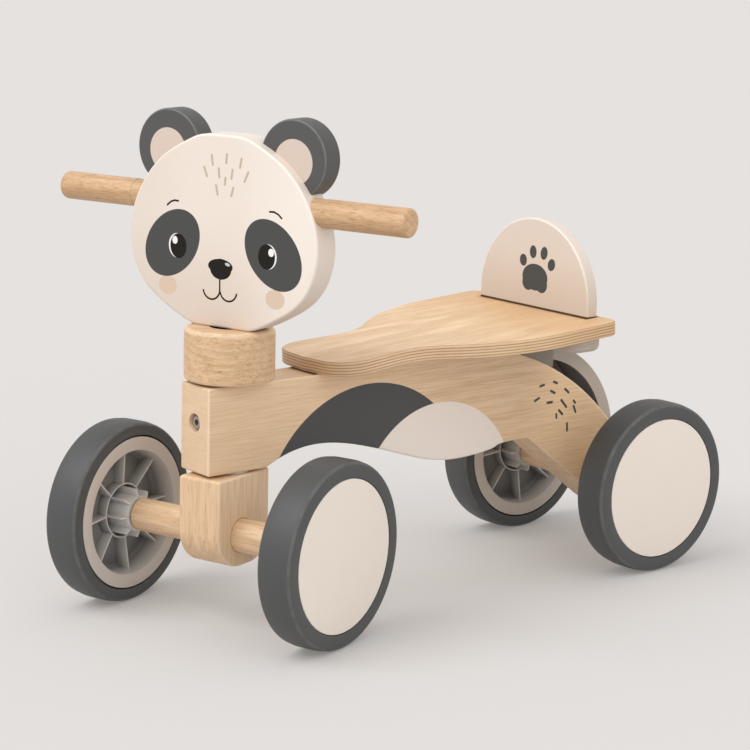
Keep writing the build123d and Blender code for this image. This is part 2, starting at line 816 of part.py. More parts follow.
def drilled_beam(fasteners):
    """The beam with its steering bore, bolt hole and axle hole, and a hole for each fastener."""
    bolt_z = limit_bolt_height
    recess_end = limit_bolt_recess_depth - beam_front
    insert_radius = limit_bolt_tip_radius + insert_wall
    return cut(
        beam_blank(),
        cylinder_z(post_radius + post_hole_clearance, beam_bottom, beam_top),
        cylinder_z(bush_radius, beam_bottom, beam_bottom + bush_length),
        cylinder_z(bush_radius, beam_top - bush_length, beam_top),
        cylinder_y(limit_bolt_recess_radius, -beam_front, recess_end, z=bolt_z),
        cylinder_y(insert_radius, recess_end, recess_end + insert_length, z=bolt_z),
        cylinder_y(limit_bolt_tip_radius, recess_end, 0, z=bolt_z),
        cylinder_x(axle_radius, -beam_thickness, beam_thickness, rear_axle, wheel_radius),
        rear_axle_pin(0),
        *fasteners,
    )


def frame_pieces():
    """The beam and all that stays with it."""
    pin = rear_axle_pin(pin_depth)
    dowels = seat_dowels()
    back_screws = backrest_screws()
    cross_screws = bridge_screws()
    stay_screws = guard_screws()
    axle = axle_dowel(rear_hub_plane, rear_axle)
    return {
        "beam": [drilled_beam(dowels + cross_screws)],
        "seat_board": [cut(seat_board(), *dowels, *back_screws, *cross_screws)],
        "seat_dowels": dowels,
        "backrest": [cut(backrest(), *back_screws)],
        "backrest_screws": back_screws,
        "seat_bridge": [cut(seat_bridge(), *cross_screws, *stay_screws)],
        "bridge_screws": cross_screws,
        "wheel_guard": [cut(wheel_guard(), *stay_screws)],
        "guard_screw": stay_screws,
        "upper_bush": [steering_bush(True)],
        "lower_bush": [steering_bush(False)],
        "steering_limit_bolt": [limit_bolt()],
        "limit_bolt_insert": [limit_bolt_insert()],
        "rear_axle": [cut(axle, pin, *thread_holes(rear_hub_plane, rear_axle))],
        "rear_axle_pin": [pin],
    }


def steering_pieces():
    """Everything that turns with the handles."""
    pin = front_axle_pin(pin_depth)
    pins = post_pins()
    stand_dowels = head_dowels()
    side_dowels = ear_dowels()
    screws = handle_screws()
    axle = axle_dowel(front_hub_plane, -axle_lead)
    axle_hole = cylinder_x(axle_radius, -block_width, block_width, -axle_lead, wheel_radius)
    collar_hole = cylinder_y(pin_radius, 0, collar_radius, z=collar_pin_height)
    block_hole = cylinder_y(pin_radius, 0, block_length, z=block_pin_height)
    return {
        "collar": [cut(collar(), *pins, *stand_dowels, collar_hole)],
        "collar_cap_disc": [cap_disc()],
        "steering_post": [cut(steering_post(), *pins)],
        "post_pins": pins,
        "front_block": [cut(front_block(), axle_hole, front_axle_pin(0), *pins, block_hole)],
        "front_axle": [cut(axle, pin, *thread_holes(front_hub_plane, -axle_lead))],
        "front_axle_pin": [pin],
        "head": [cut(head(), tenon(-1), tenon(1), *stand_dowels, *side_dowels, *screws)],
        "head_dowels": stand_dowels,
        "ear_right": [cut(ear(-1), *side_dowels)],
        "ear_left": [cut(ear(1), *side_dowels)],
        "ear_dowels": side_dowels,
        "handle_right": [cut(handle(-1), *screws)],
        "handle_left": [cut(handle(1), *screws)],
        "handle_screws": screws,
    }


def wheel_pieces(position, hub_plane, axle_y):
    """The two wheels of one axle, and the screws and washers that hold them."""
    pieces = {f"{position}_axle_screws": [], f"{position}_axle_washers": []}
    for name, side in (("right", -1), ("left", 1)):
        for part, solid in (("tyre", tyre()), ("hub", hub()), ("hub_cap", hub_cap())):
            pieces[f"{position}_{name}_{part}"] = [at_wheel(solid, side, hub_plane, axle_y)]
        pieces[f"{position}_axle_screws"].append(at_wheel(axle_screw(), side, hub_plane, axle_y))
        for washer in axle_washers():
            pieces[f"{position}_axle_washers"].append(at_wheel(washer, side, hub_plane, axle_y))
    return pieces


def place_steered(pieces):
    """Turn a group about the steering axis."""
    return {name: [Rot(0, 0, steer_angle) * solid for solid in solids] for name, solids in pieces.items()}


def all_pieces():
    """Every piece at its place, with the origin under the middle of the bike."""
    pieces = frame_pieces()
    pieces.update(place_steered(steering_pieces()))
    pieces.update(place_steered(wheel_pieces("front", front_hub_plane, -axle_lead)))
    pieces.update(wheel_pieces("rear", rear_hub_plane, rear_axle))
    shift = Pos(0, -middle_of_bike, 0)
    return {name: [shift * solid for solid in solids] for name, solids in pieces.items()}


os.makedirs("parts", exist_ok=True)
for name, solids in all_pieces().items():
    shape = solids[0] if len(solids) == 1 else Compound(children=solids)
    export_step(shape, f"parts/{name}.step")
print("middle of the bike, behind the steering axis:", round(middle_of_bike, 3))
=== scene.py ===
import math

import bmesh
import bpy
from mathutils import Matrix, Vector


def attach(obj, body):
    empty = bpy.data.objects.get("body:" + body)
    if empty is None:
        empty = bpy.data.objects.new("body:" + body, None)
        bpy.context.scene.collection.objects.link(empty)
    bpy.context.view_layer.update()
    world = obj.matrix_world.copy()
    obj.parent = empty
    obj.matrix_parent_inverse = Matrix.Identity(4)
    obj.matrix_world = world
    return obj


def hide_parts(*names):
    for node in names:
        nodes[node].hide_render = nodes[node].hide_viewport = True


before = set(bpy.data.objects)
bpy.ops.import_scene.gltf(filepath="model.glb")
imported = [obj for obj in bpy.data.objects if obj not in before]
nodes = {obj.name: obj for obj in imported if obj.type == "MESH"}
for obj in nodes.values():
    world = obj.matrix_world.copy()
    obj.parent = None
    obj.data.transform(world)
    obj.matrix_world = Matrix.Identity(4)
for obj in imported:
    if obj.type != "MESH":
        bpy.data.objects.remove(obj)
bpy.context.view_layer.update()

# Camera: a long lens at the bike's front left, a little above the seat. Its place is in
# metres, its angles are in radians, its focal length and its sensor in millimetres.
camera_place = (1.45669, -1.22237, 0.56823)
camera_heading = 0.888758
camera_pitch = 0.201832
camera_roll = 0.024242
camera_focal_length = 110.6016
camera_sensor = 36

back = Vector((
    math.sin(camera_heading) * math.cos(camera_pitch),
    -math.cos(camera_heading) * math.cos(camera_pitch),
    math.sin(camera_pitch),
))
level_right = Vector((math.cos(camera_heading), math.sin(camera_heading), 0))
level_up = back.cross(level_right)
right = level_right * math.cos(camera_roll) + level_up * math.sin(camera_roll)
up = level_up * math.cos(camera_roll) - level_right * math.sin(camera_roll)
lens = bpy.data.cameras.new("studio_camera")
lens.sensor_width = camera_sensor
lens.lens = camera_focal_length
lens.clip_start = 0.05
lens.clip_end = 100
camera = bpy.data.objects.new("studio_camera", lens)
bpy.context.scene.collection.objects.link(camera)
turn = Matrix((right, up, back)).transposed().to_4x4()
camera.matrix_world = Matrix.Translation(camera_place) @ turn
bpy.context.scene.camera = camera
bpy.context.scene.view_settings.view_transform = "Standard"


# Studio: an even white sky, two wide soft lamps and a plain pale floor. Seen directly or
# in a reflection, sky and floor have the same warm grey; the floor keeps the bike's shadow.
studio_grey = (0.750, 0.712, 0.682, 1)
sky_white = (1, 0.99, 0.98, 1)
sky_strength = 0.80
floor_paint_colour = (0.674, 0.657, 0.646, 1)
floor_glow = 0.24
floor_radius = 40


def plain_seen(tree, share):
    """The share of the plain studio grey: none on rays that only carry light."""
    path = tree.nodes.new("ShaderNodeLightPath")
    total = path.outputs["Is Camera Ray"]
    for kind in ("Is Glossy Ray", "Is Transmission Ray"):
        both = tree.nodes.new("ShaderNodeMath")
        both.operation = "MAXIMUM"
        tree.links.new(total, both.inputs[0])
        tree.links.new(path.outputs[kind], both.inputs[1])
        total = both.outputs[0]
    amount = tree.nodes.new("ShaderNodeMath")
    amount.operation = "MULTIPLY"
    amount.inputs[1].default_value = share
    tree.links.new(total, amount.inputs[0])
    return amount.outputs[0]


def blended(tree, share, plain, lit, output):
    """Shows the plain shader by its share and the lit one for the rest."""
    mix = tree.nodes.new("ShaderNodeMixShader")
    tree.links.new(plain_seen(tree, share), mix.inputs["Fac"])
    tree.links.new(lit, mix.inputs[1])
    tree.links.new(plain, mix.inputs[2])
    tree.links.new(mix.outputs["Shader"], output)


world = bpy.data.worlds.new("studio_sky")
bpy.context.scene.world = world
world.use_nodes = True
sky = world.node_tree
sky.nodes.clear()
sky_out = sky.nodes.new("ShaderNodeOutputWorld")
sky_light = sky.nodes.new("ShaderNodeBackground")
sky_light.inputs["Color"].default_value = sky_white
sky_light.inputs["Strength"].default_value = sky_strength
sky_seen = sky.nodes.new("ShaderNodeBackground")
sky_seen.inputs["Color"].default_value = studio_grey
sky_seen.inputs["Strength"].default_value = 1
blended(sky, 1, sky_seen.outputs[0], sky_light.outputs[0], sky_out.inputs["Surface"])


def softbox(name, heading, height, strength, spread):
    """A very wide distant lamp that shines from a heading and a height, in degrees."""
    lamp = bpy.data.lights.new(name, "SUN")
    lamp.energy = strength
    lamp.angle = math.radians(spread)
    holder = bpy.data.objects.new(name, lamp)
    bpy.context.scene.collection.objects.link(holder)
    high, round_ = math.radians(height), math.radians(heading)
    toward = Vector((
        math.sin(round_) * math.cos(high), -math.cos(round_) * math.cos(high), math.sin(high),
    ))
    holder.rotation_euler = toward.to_track_quat("Z", "Y").to_euler()


softbox("key_softbox", heading=-15, height=50, strength=1.20, spread=40)
softbox("side_softbox", heading=80, height=35, strength=0.52, spread=60)

floor_mesh = bpy.data.meshes.new("floor")
floor_edge = bmesh.new()
bmesh.ops.create_circle(floor_edge, cap_ends=True, segments=96, radius=floor_radius)
floor_edge.to_mesh(floor_mesh)
floor_edge.free()
floor = bpy.data.objects.new("floor", floor_mesh)
bpy.context.scene.collection.objects.link(floor)
floor_paint = bpy.data.materials.new("floor_paint")
floor_paint.use_nodes = True
floor_tree = floor_paint.node_tree
floor_shader = floor_tree.nodes["Principled BSDF"]
floor_shader.inputs["Base Color"].default_value = floor_paint_colour
floor_shader.inputs["Roughness"].default_value = 0.9
floor_shader.inputs["Specular IOR Level"].default_value = 0
floor_plain = floor_tree.nodes.new("ShaderNodeEmission")
floor_plain.inputs["Color"].default_value = studio_grey
blended(
    floor_tree, floor_glow, floor_plain.outputs[0], floor_shader.outputs[0],
    floor_tree.nodes["Material Output"].inputs["Surface"],
)
floor_mesh.materials.append(floor_paint)


# Beam: one thick pale board, sawn to its waved outline, its edges rounded and lacquered
# matt. The dark and cream fields and the dashes are sprayed through stencils.
steering_axis = (0, -187.666, 0)
steering_turn = math.radians(17.3)

slate_paint = (0.070, 0.071, 0.071, 1)
cream_paint = (0.850, 0.758, 0.676, 1)
beam_pale = (0.82, 0.605, 0.40, 1)
beam_dark = (0.58, 0.37, 0.195, 1)
neck_side_light = (0.93, 0.685, 0.445, 1)
tail_side_light = (0.98, 0.69, 0.42, 1)
beam_front = (0.79, 0.58, 0.385, 1)
side_streak = (0.62, 0.39, 0.20, 1)
front_streak = (0.62, 0.41, 0.235, 1)
sanded_edge_and_highlight = (0.93, 0.76, 0.57, 1)
seat_nose_shade = (0.10, 0.055, 0.025, 1)

paint_edge = 0.12
field_edge = 0.2
dark_field = (127.8, 74.3)
dark_field_radius = 108.5
cream_field = (204.1, 74.1)
cream_field_radius = 84
seat_nose_y = 68.6
tail_dash_width = 2.3
tail_dashes = [
    ((318.6, 158.8), (323.1, 159.6)), ((334.8, 161.1), (338.7, 159.4)),
    ((331.8, 153.1), (336.3, 150.9)), ((348.8, 153.0), (353.1, 149.5)),
    ((312.9, 146.4), (317.8, 148.4)), ((328.0, 143.0), (333.5, 143.0)),
    ((344.7, 143.6), (351.0, 136.6)), ((359.8, 141.2), (361.7, 139.2)),
    ((360.0, 136.4), (362.6, 130.8)), ((342.3, 134.5), (346.6, 130.6)),
    ((339.3, 131.4), (339.6, 128.2)), ((352.8, 121.4), (353.2, 114.9)),
]


class Term:
    """A number worked out at each point of a surface, written with the usual signs."""

    def __init__(self, tree, socket):
        self.tree = tree
        self.socket = socket

    def work(self, kind, *others):
        node = self.tree.nodes.new("ShaderNodeMath")
        node.operation = kind
        for plug, value in zip(node.inputs, (self, *others)):
            if isinstance(value, Term):
                self.tree.links.new(value.socket, plug)
            else:
                plug.default_value = value
        return Term(self.tree, node.outputs[0])

    def __add__(self, other):
        return self.work("ADD", other)

    def __sub__(self, other):
        return self.work("SUBTRACT", other)

    def __mul__(self, other):
        return self.work("MULTIPLY", other)

    def __truediv__(self, other):
        return self.work("DIVIDE", other)

    def __abs__(self):
        return self.work("ABSOLUTE")

    def squared(self):
        return self * self

    def root(self):
        return self.work("SQRT")

    def fraction(self):
        return self.work("FRACT")

    def least(self, other):
        return self.work("MINIMUM", other)

    def most(self, other):
        return self.work("MAXIMUM", other)

    def rise(self, low, high):
        """0 below low, 1 above high, a soft step between; falls where low is above high."""
        node = self.tree.nodes.new("ShaderNodeMapRange")
        node.interpolation_type = "SMOOTHSTEP"
        self.tree.links.new(self.socket, node.inputs["Value"])
        node.inputs["From Min"].default_value = low
        node.inputs["From Max"].default_value = high
        return Term(self.tree, node.outputs["Result"])


class Finish:
    """One material. Its x, y and z are the piece's own axes, in millimetres."""

    def __init__(self, name, colour, roughness, turn=0.0, centre=(0, 0, 0)):
        self.material = bpy.data.materials.new(name)
        self.material.use_nodes = True
        self.tree = self.material.node_tree
        self.shader = self.tree.nodes["Principled BSDF"]
        self.colour = colour
        self.roughness = roughness
        place = self.tree.nodes.new("ShaderNodeTexCoord")
        own = self.tree.nodes.new("ShaderNodeMapping")
        own.vector_type = "TEXTURE"
        own.inputs["Location"].default_value = [c / 1000 for c in centre]
        own.inputs["Rotation"].default_value = (0, 0, turn)
        own.inputs["Scale"].default_value = (0.001, 0.001, 0.001)
        self.tree.links.new(place.outputs["Object"], own.inputs["Vector"])
        self.x, self.y, self.z = self.split(own.outputs["Vector"])
        facing = self.tree.nodes.new("ShaderNodeMapping")
        facing.vector_type = "TEXTURE"
        facing.inputs["Rotation"].default_value = (0, 0, turn)
        self.tree.links.new(place.outputs["Normal"], facing.inputs["Vector"])
        self.facing_x, self.facing_y, self.facing_z = self.split(facing.outputs["Vector"])

    def split(self, vector):
        node = self.tree.nodes.new("ShaderNodeSeparateXYZ")
        self.tree.links.new(vector, node.inputs[0])
        return [Term(self.tree, plug) for plug in node.outputs]

    def noise(self, x, y, z, detail=2):
        """Soft clouds about 1 wide in x, y and z, mostly between 0.3 and 0.7."""
        vector = self.tree.nodes.new("ShaderNodeCombineXYZ")
        for plug, value in zip(vector.inputs, (x, y, z)):
            self.tree.links.new(value.socket, plug)
        node = self.tree.nodes.new("ShaderNodeTexNoise")
        node.inputs["Scale"].default_value = 1
        node.inputs["Detail"].default_value = detail
        self.tree.links.new(vector.outputs[0], node.inputs["Vector"])
        return Term(self.tree, node.outputs["Fac"])

    def cloud(self, size, detail=2):
        """Clouds of one size in every direction."""
        return self.noise(self.x / size, self.y / size, self.z / size, detail)

    def cover(self, amount, colour):
        """Lays a colour over what is there, by an amount from 0 to 1."""
        node = self.tree.nodes.new("ShaderNodeMix")
        node.data_type = "RGBA"
        node.clamp_factor = True
        below, above = [plug for plug in node.inputs if plug.type == "RGBA"]
        self.tree.links.new(amount.socket, node.inputs["Factor"])
        above.default_value = colour
        if isinstance(self.colour, tuple):
            below.default_value = self.colour
        else:
            self.tree.links.new(self.colour, below)
        self.colour = [plug for plug in node.outputs if plug.type == "RGBA"][0]

    def own(self, name):
        """A value that the mesh carries from point to point under a name."""
        node = self.tree.nodes.new("ShaderNodeAttribute")
        node.attribute_name = name
        return Term(self.tree, node.outputs["Fac"])

    def relief(self, height, depth):
        """Raises the surface by height, where 1 stands for depth millimetres."""
        node = self.tree.nodes.new("ShaderNodeBump")
        node.inputs["Distance"].default_value = depth / 1000
        self.tree.links.new(height.socket, node.inputs["Height"])
        self.tree.links.new(node.outputs["Normal"], self.shader.inputs["Normal"])

    def done(self):
        """Connects the colour and the roughness, and gives the material."""
        if isinstance(self.colour, tuple):
            self.shader.inputs["Base Color"].default_value = self.colour
        else:
            self.tree.links.new(self.colour, self.shader.inputs["Base Color"])
        if isinstance(self.roughness, Term):
            self.tree.links.new(self.roughness.socket, self.shader.inputs["Roughness"])
        else:
            self.shader.inputs["Roughness"].default_value = self.roughness
        return self.material


def wears(material, *names):
    """Gives a finished material to the named nodes of the part."""
    for name in names:
        nodes[name].data.materials.clear()
        nodes[name].data.materials.append(material)


def darker(colour, share):
    """A colour brought down to a share of its brightness."""
    return tuple(c * share for c in colour[:3]) + (1,)


def away(x, y, centre):
    """How far a point lies from a centre."""
    return ((x - centre[0]).squared() + (y - centre[1]).squared()).root()


def timber(name, grain, pale, dark, heart, spacing, rings, pores, **place):
    """Lacquered wood: growth rings round a distant heart, fibres along the grain, short pores.

    The heart's place is given across the grain, and the rings' spacing with it. What rings
    and pores say is how strongly both show, from 0 to 1.
    """
    wood = Finish(name, pale, 0.5, **place)
    ways = {
        "x": (wood.x, wood.y, wood.z),
        "y": (wood.y, wood.x, wood.z),
        "z": (wood.z, wood.x, wood.y),
    }
    along, side, rise = ways[grain]

    def figure(width, length, detail=2):
        """Clouds with a width across the grain and a length along it."""
        return wood.noise(side / width, rise / width, along / length, detail)

    wander = figure(90, 320) - 0.5
    ripple = figure(9, 90) - 0.5
    ring = ((away(side, rise, heart) + wander * 30 + ripple * 5) / spacing).fraction()
    late = ring.squared() * ring.rise(1, 0.86)
    fibre = figure(1.3, 30, detail=4)
    silk = figure(6, 80, detail=3)
    pore = figure(0.8, 14, detail=1).rise(0.63, 0.71)
    wood.cover(late * rings + (fibre - 0.42) * 1.5 + (silk - 0.48) * 1.3, dark)
    wood.cover(pore * pores, darker(dark, 0.55))
    wood.roughness = fibre * 0.2 + 0.36
    wood.relief(fibre * 0.5 - pore * pores, 0.06)
    return wood


def streaked(wood, side, rise, along, amount, colour):
    """Lays a second run of darker streaks, 1.2 wide and 40 long, along the grain."""
    streak = wood.noise(side / 1.2, rise / 1.2, along / 40, detail=4)
    wood.cover(streak.rise(0.38, 0.75) * amount, colour)


def eased(finish, across, wear_and_highlight, share):
    """Pales the rounded edges of a board whose faces lie square to one of its own axes."""
    # The paler edges are partly wear and partly a painted highlight.
    faced = across.squared()
    finish.cover((faced - faced.squared()).rise(0.04, 0.2) * share, wear_and_highlight)


def disc(x, y, centre, radius):
    """1 inside a circle, 0 outside."""
    return away(x, y, centre).rise(radius + field_edge, radius - field_edge)


def dash(x, y, start, end, width):
    """1 on a short stroke with round ends, 0 elsewhere."""
    run, climb = end[0] - start[0], end[1] - start[1]
    dx, dy = x - start[0], y - start[1]
    share = (dx * run + dy * climb) / (run**2 + climb**2)
    share = share.most(0).least(1)
    off = ((dx - share * run).squared() + (dy - share * climb).squared()).root()
    return off.rise(width / 2 + paint_edge, width / 2 - paint_edge)


def strokes(x, y, lines, width):
    """1 on any of several short strokes."""
    marks = dash(x, y, *lines[0], width)
    for start, end in lines[1:]:
        marks = marks.most(dash(x, y, start, end, width))
    return marks


board = timber(
    "beam_wood", "y", beam_pale, beam_dark,
    heart=(40, -160), spacing=11, rings=0.25, pores=0.2,
)
fore_y = board.y - steering_axis[1]
on_side = abs(board.facing_x).rise(0.25, 0.45)
# Painted light: the side is paler towards the neck and the tail, where the wheels and the guard
# shade it.
board.cover(on_side * fore_y.rise(210, 60) * 0.5, neck_side_light)
board.cover(on_side * fore_y.rise(290, 350) * 0.9, tail_side_light)
streaked(board, board.x, board.z, board.y, on_side * 0.45, side_streak)
on_front = abs(board.facing_y).rise(0.8, 0.95)
board.cover(on_front * 0.65, beam_front)
streaked(board, board.y, board.z, board.x * 1.6, on_front * 0.4, front_streak)
eased(board, board.facing_x, sanded_edge_and_highlight, 0.5)
in_dark_field = disc(fore_y, board.z, dark_field, dark_field_radius)
board.cover(in_dark_field * on_side, darker(slate_paint, 0.85))
board.cover(disc(fore_y, board.z, cream_field, cream_field_radius) * on_side, cream_paint)
under_seat = (fore_y - seat_nose_y).rise(0, 2.4) * fore_y.rise(320, 300)
board.cover(under_seat * board.facing_z.rise(0.9, 0.98) * 0.9, seat_nose_shade)
board.cover(strokes(fore_y, board.z, tail_dashes, tail_dash_width) * on_side, slate_paint)
wears(board.done(), "beam")


# Steering bushes, limit bolt and its sleeve: white moulded plastic rings pressed into the
# beam, and a zinc-plated hex-socket bolt in a counterbore in the beam's front face.
nylon_white = (0.74, 0.72, 0.67, 1)
nylon_shade = (0.66, 0.64, 0.59, 1)
zinc_bright = (0.62, 0.60, 0.56, 1)
zinc_dull = (0.46, 0.445, 0.42, 1)
bolt_steel = (0.40, 0.37, 0.34, 1)
bolt_chamfer_highlight = (0.60, 0.56, 0.52, 1)
bolt_edge_shade = (0.16, 0.14, 0.125, 1)
socket_shade = (0.11, 0.10, 0.09, 1)
bolt_height = 166
socket_radius = 2.2

bush_nylon = Finish("bush_nylon", nylon_white, 0.45)
bush_nylon.cover(bush_nylon.cloud(6).rise(0.4, 0.8), nylon_shade)
bush_nylon.relief(bush_nylon.cloud(0.6), 0.02)
wears(bush_nylon.done(), "upper_bush", "lower_bush")

zinc = Finish("zinc_plated_steel", zinc_bright, 0.3)
zinc.shader.inputs["Metallic"].default_value = 1
zinc.cover(zinc.cloud(2.5).rise(0.45, 0.75), zinc_dull)
zinc.roughness = zinc.cloud(1.2) * 0.3 + 0.2
zinc.relief(zinc.cloud(0.5), 0.01)
zinc = zinc.done()
wears(zinc, "limit_bolt_insert", "steering_post")

bolt = Finish("bolt_zinc", bolt_steel, 0.42)
bolt.shader.inputs["Metallic"].default_value = 1
bolt_reach = away(bolt.x, bolt.z, (0, bolt_height))
# Painted highlight on a ring round the socket, painted shade outside it and in the socket.
bolt.cover(bolt_reach.rise(3.4, 3.9), bolt_chamfer_highlight)
bolt.cover(bolt_reach.rise(4.4, 4.8), bolt_edge_shade)
bolt.cover(bolt_reach.rise(socket_radius, socket_radius - 0.3), socket_shade)
bolt.relief(bolt.cloud(0.5), 0.01)
wears(bolt.done(), "steering_limit_bolt")


# Seat board: five plies of veneer pressed flat, routed to shape and lacquered. The face
# veneer's grain runs lengthwise, and the plies show as pale and brown lines in the edge.
seat_slope = math.radians(4)
seat_front = (72, 196)
seat_thickness = 12
ply = seat_thickness / 5
backrest_front = 323.4
backrest_half_width = 69.5

seat_pale = (0.80, 0.575, 0.365, 1)
seat_dark = (0.66, 0.42, 0.22, 1)
seat_honey = (0.66, 0.40, 0.19, 1)
seat_streak = (0.66, 0.38, 0.165, 1)
seat_painted_sheen = (0.95, 0.715, 0.475, 1)
edge_wood = (0.60, 0.385, 0.21, 1)
nose_edge = (0.38, 0.22, 0.11, 1)
rear_edge = (0.48, 0.285, 0.14, 1)
glue_line = (0.32, 0.175, 0.08, 1)
ply_core = (0.92, 0.69, 0.46, 1)
foot_contact_shadow = (0.07, 0.035, 0.015, 1)
foot_shade = (0.30, 0.17, 0.08, 1)

seat = timber(
    "seat_plywood", "y", seat_pale, seat_dark,
    heart=(24, 20), spacing=16, rings=0.34, pores=0.2,
)
seat_y = seat.y - steering_axis[1]
above_bottom = (seat.z - seat_front[1]) * math.cos(seat_slope)
above_bottom = above_bottom - (seat_y - seat_front[0]) * math.sin(seat_slope)
wavy = seat.noise(seat.x / 20, seat.y / 20, seat.z / 20) * 0.3
layer = abs(((above_bottom + wavy) / ply).fraction() - 0.5) * 2
on_edge = abs(seat.facing_z).rise(0.93, 0.80)
on_face = abs(seat.facing_z).rise(0.9, 0.98)
on_top = seat.facing_z.rise(0.9, 0.98)
seat.cover(seat_y.rise(200, 330) * 0.65, seat_honey)
streaked(seat, seat.x, seat.z, seat.y, on_top * 0.45, seat_streak)
# Painted sheen: pale patches on the top face, fading towards the backrest.
sheen = seat.noise(seat.x / 13, seat.z / 13, seat.y / 75, detail=3)
sheen_share = seat_y.rise(320, 200) * 0.5 + 0.15
seat.cover(sheen.rise(0.40, 0.68) * on_top * sheen_share, seat_painted_sheen)
seat.cover(on_edge * 0.25, edge_wood)
seat.cover(on_edge * seat_y.rise(125, 78) * 0.45, nose_edge)
seat.cover(on_edge * seat_y.rise(240, 330) * 0.5, rear_edge)
seat.cover(on_edge * layer.rise(0.60, 0.86) * 0.75, glue_line)
seat.cover(on_edge * layer.rise(0.5, 0.1) * 0.4, ply_core)
# Painted shadow: a dark line where the backrest stands on the seat, and a softer painted shade
# before it.
by_backrest = (seat_y - backrest_front + 1.5).rise(0, 0.6)
by_backrest = by_backrest * abs(seat.x).rise(backrest_half_width + 0.3, backrest_half_width - 0.3)
seat.cover(by_backrest * on_face, foot_contact_shadow)
near_backrest = (seat_y - backrest_front + 7).rise(0, 7) * abs(seat.x).rise(73, 68)
seat.cover(near_backrest * on_face * 0.4, foot_shade)
wears(seat.done(), "seat_board")


# Backrest: a half-round board painted cream, with a dark paw stencilled on its front, its
# rounded edges paler from wear and painted highlight. Two hidden screws hold it to the seat.
pale_wear_and_light = (0.95, 0.88, 0.80, 1)
backrest_cream = (0.76, 0.665, 0.59, 1)
backrest_wear_and_highlight = (0.93, 0.85, 0.76, 1)
backrest_shade = (0.59, 0.492, 0.405, 1)
backrest_foot_shadow = (0.075, 0.038, 0.016, 1)
joint_height = 226.7
pad_centre = (1.9, 252.4)
pad_size = (16, 11.7)
heels = [(-6.7, 247.2), (10.5, 246.8)]
heel_radius = 7.2
toes = [
    ((-13.6, 265.8), 4.5, 5.3, 0.05), ((-1.4, 274.4), 4.3, 5.7, 0),
    ((12.5, 274.8), 4.3, 5.8, -0.25), ((22.2, 265.8), 4.4, 5.5, -0.4),
]


def spot(x, y, centre, half_width, half_height, lean=0.0):
    """1 inside an ellipse that leans by an angle from x towards y, 0 outside."""
    c, s = math.cos(lean), math.sin(lean)
    dx, dy = x - centre[0], y - centre[1]
    across = (dx * c + dy * s) / half_width
    upward = (dy * c - dx * s) / half_height
    soft = paint_edge / min(half_width, half_height)
    return (across.squared() + upward.squared()).root().rise(1 + soft, 1 - soft)


def painted(name, colour, wear_and_highlight, across="y", **place):
    """Sprayed satin paint on sanded wood; edges a bit thinner, paler as a painted highlight."""
    paint = Finish(name, colour, 0.42, **place)
    paint.shader.inputs["Specular IOR Level"].default_value = 0.25
    paint.cover(paint.cloud(38).rise(0.35, 0.8) * 0.25, darker(colour, 0.95))
    thin_paint_and_highlight = paint.cloud(4, 3).rise(0.25, 0.6) * 0.25 + 0.5
    eased(paint, paint.facing_y if across == "y" else paint.facing_x, wear_and_highlight, thin_paint_and_highlight)
    paint.roughness = paint.cloud(3) * 0.12 + 0.36
    paint.relief(paint.cloud(0.9, 3) + paint.cloud(7) * 2, 0.03)
    return paint


rest = painted("backrest_paint", backrest_cream, backrest_wear_and_highlight)
# Painted shade: the front darkens towards the foot, with a dark painted shadow line at the seat.
rest.cover(rest.z.rise(285, 230) * 0.55, backrest_shade)
rest.cover(rest.z.rise(joint_height + 0.9, joint_height), backrest_foot_shadow)
paw = spot(rest.x, rest.z, pad_centre, *pad_size)
for heel in heels:
    paw = paw.most(spot(rest.x, rest.z, heel, heel_radius, heel_radius))
for toe in toes:
    paw = paw.most(spot(rest.x, rest.z, *toe))
rest.cover(paw * rest.facing_y.rise(-0.8, -0.95), slate_paint)
wears(rest.done(), "backrest")


# Bridge and wheel guard: taupe plastic mouldings with a fine spark-eroded texture. The
# bridge is screwed under the seat, and the guard hangs from its right arm.
taupe = (0.485, 0.412, 0.348, 1)
bridge_taupe = (0.50, 0.43, 0.365, 1)
bridge_shade = (0.13, 0.104, 0.08, 1)
guard_shade = (0.19, 0.16, 0.135, 1)
guard_underside_shade = (0.085, 0.082, 0.08, 1)
moulded_grain = 0.5


def moulded(name, colour, grain, **place):
    """Moulded plastic: even colour, a fine grain and a faint flow of shade."""
    plastic = Finish(name, colour, 0.5, **place)
    plastic.cover(plastic.cloud(30).rise(0.3, 0.8) * 0.3, darker(colour, 0.88))
    plastic.roughness = plastic.cloud(1.5) * 0.15 + 0.42
    plastic.relief(plastic.cloud(grain, 3), 0.03)
    return plastic


bridge = moulded("bridge_plastic", bridge_taupe, moulded_grain)
ahead = bridge.facing_y.rise(0.4, -0.2)
bridge.cover(bridge.x.rise(40, 20) * ahead * 0.85, bridge_shade)
wears(bridge.done(), "seat_bridge")
guard = moulded("guard_plastic", taupe, moulded_grain)
# Painted shade: darker towards the seat above, and dark on the underside.
guard.cover(guard.z.rise(132, 178) * 0.65, guard_shade)
guard.cover(guard.facing_z.rise(-0.05, -0.35) * 0.85, guard_underside_shade)
wears(guard.done(), "wheel_guard")


# Front block and collar: rubberwood, the block with its grain upright, the collar turned
# with its grain level. Both are fixed to the steel steering post by cross pins.
steered = {"turn": steering_turn, "centre": steering_axis}
wheel_radius = 75
front_axle_y = -8.6
axle_radius = 13.5
collar_grain_turn = math.radians(34)

block_pale = (0.79, 0.56, 0.355, 1)
block_dark = (0.58, 0.355, 0.185, 1)
block_side_light = (0.99, 0.76, 0.525, 1)
block_streak = (0.66, 0.42, 0.22, 1)
bore_shade = (0.20, 0.11, 0.055, 1)
collar_pale = (0.75, 0.515, 0.31, 1)
collar_dark = (0.52, 0.30, 0.14, 1)
cap_black = (0.012, 0.011, 0.010, 1)
cap_worn_black = (0.02, 0.019, 0.017, 1)

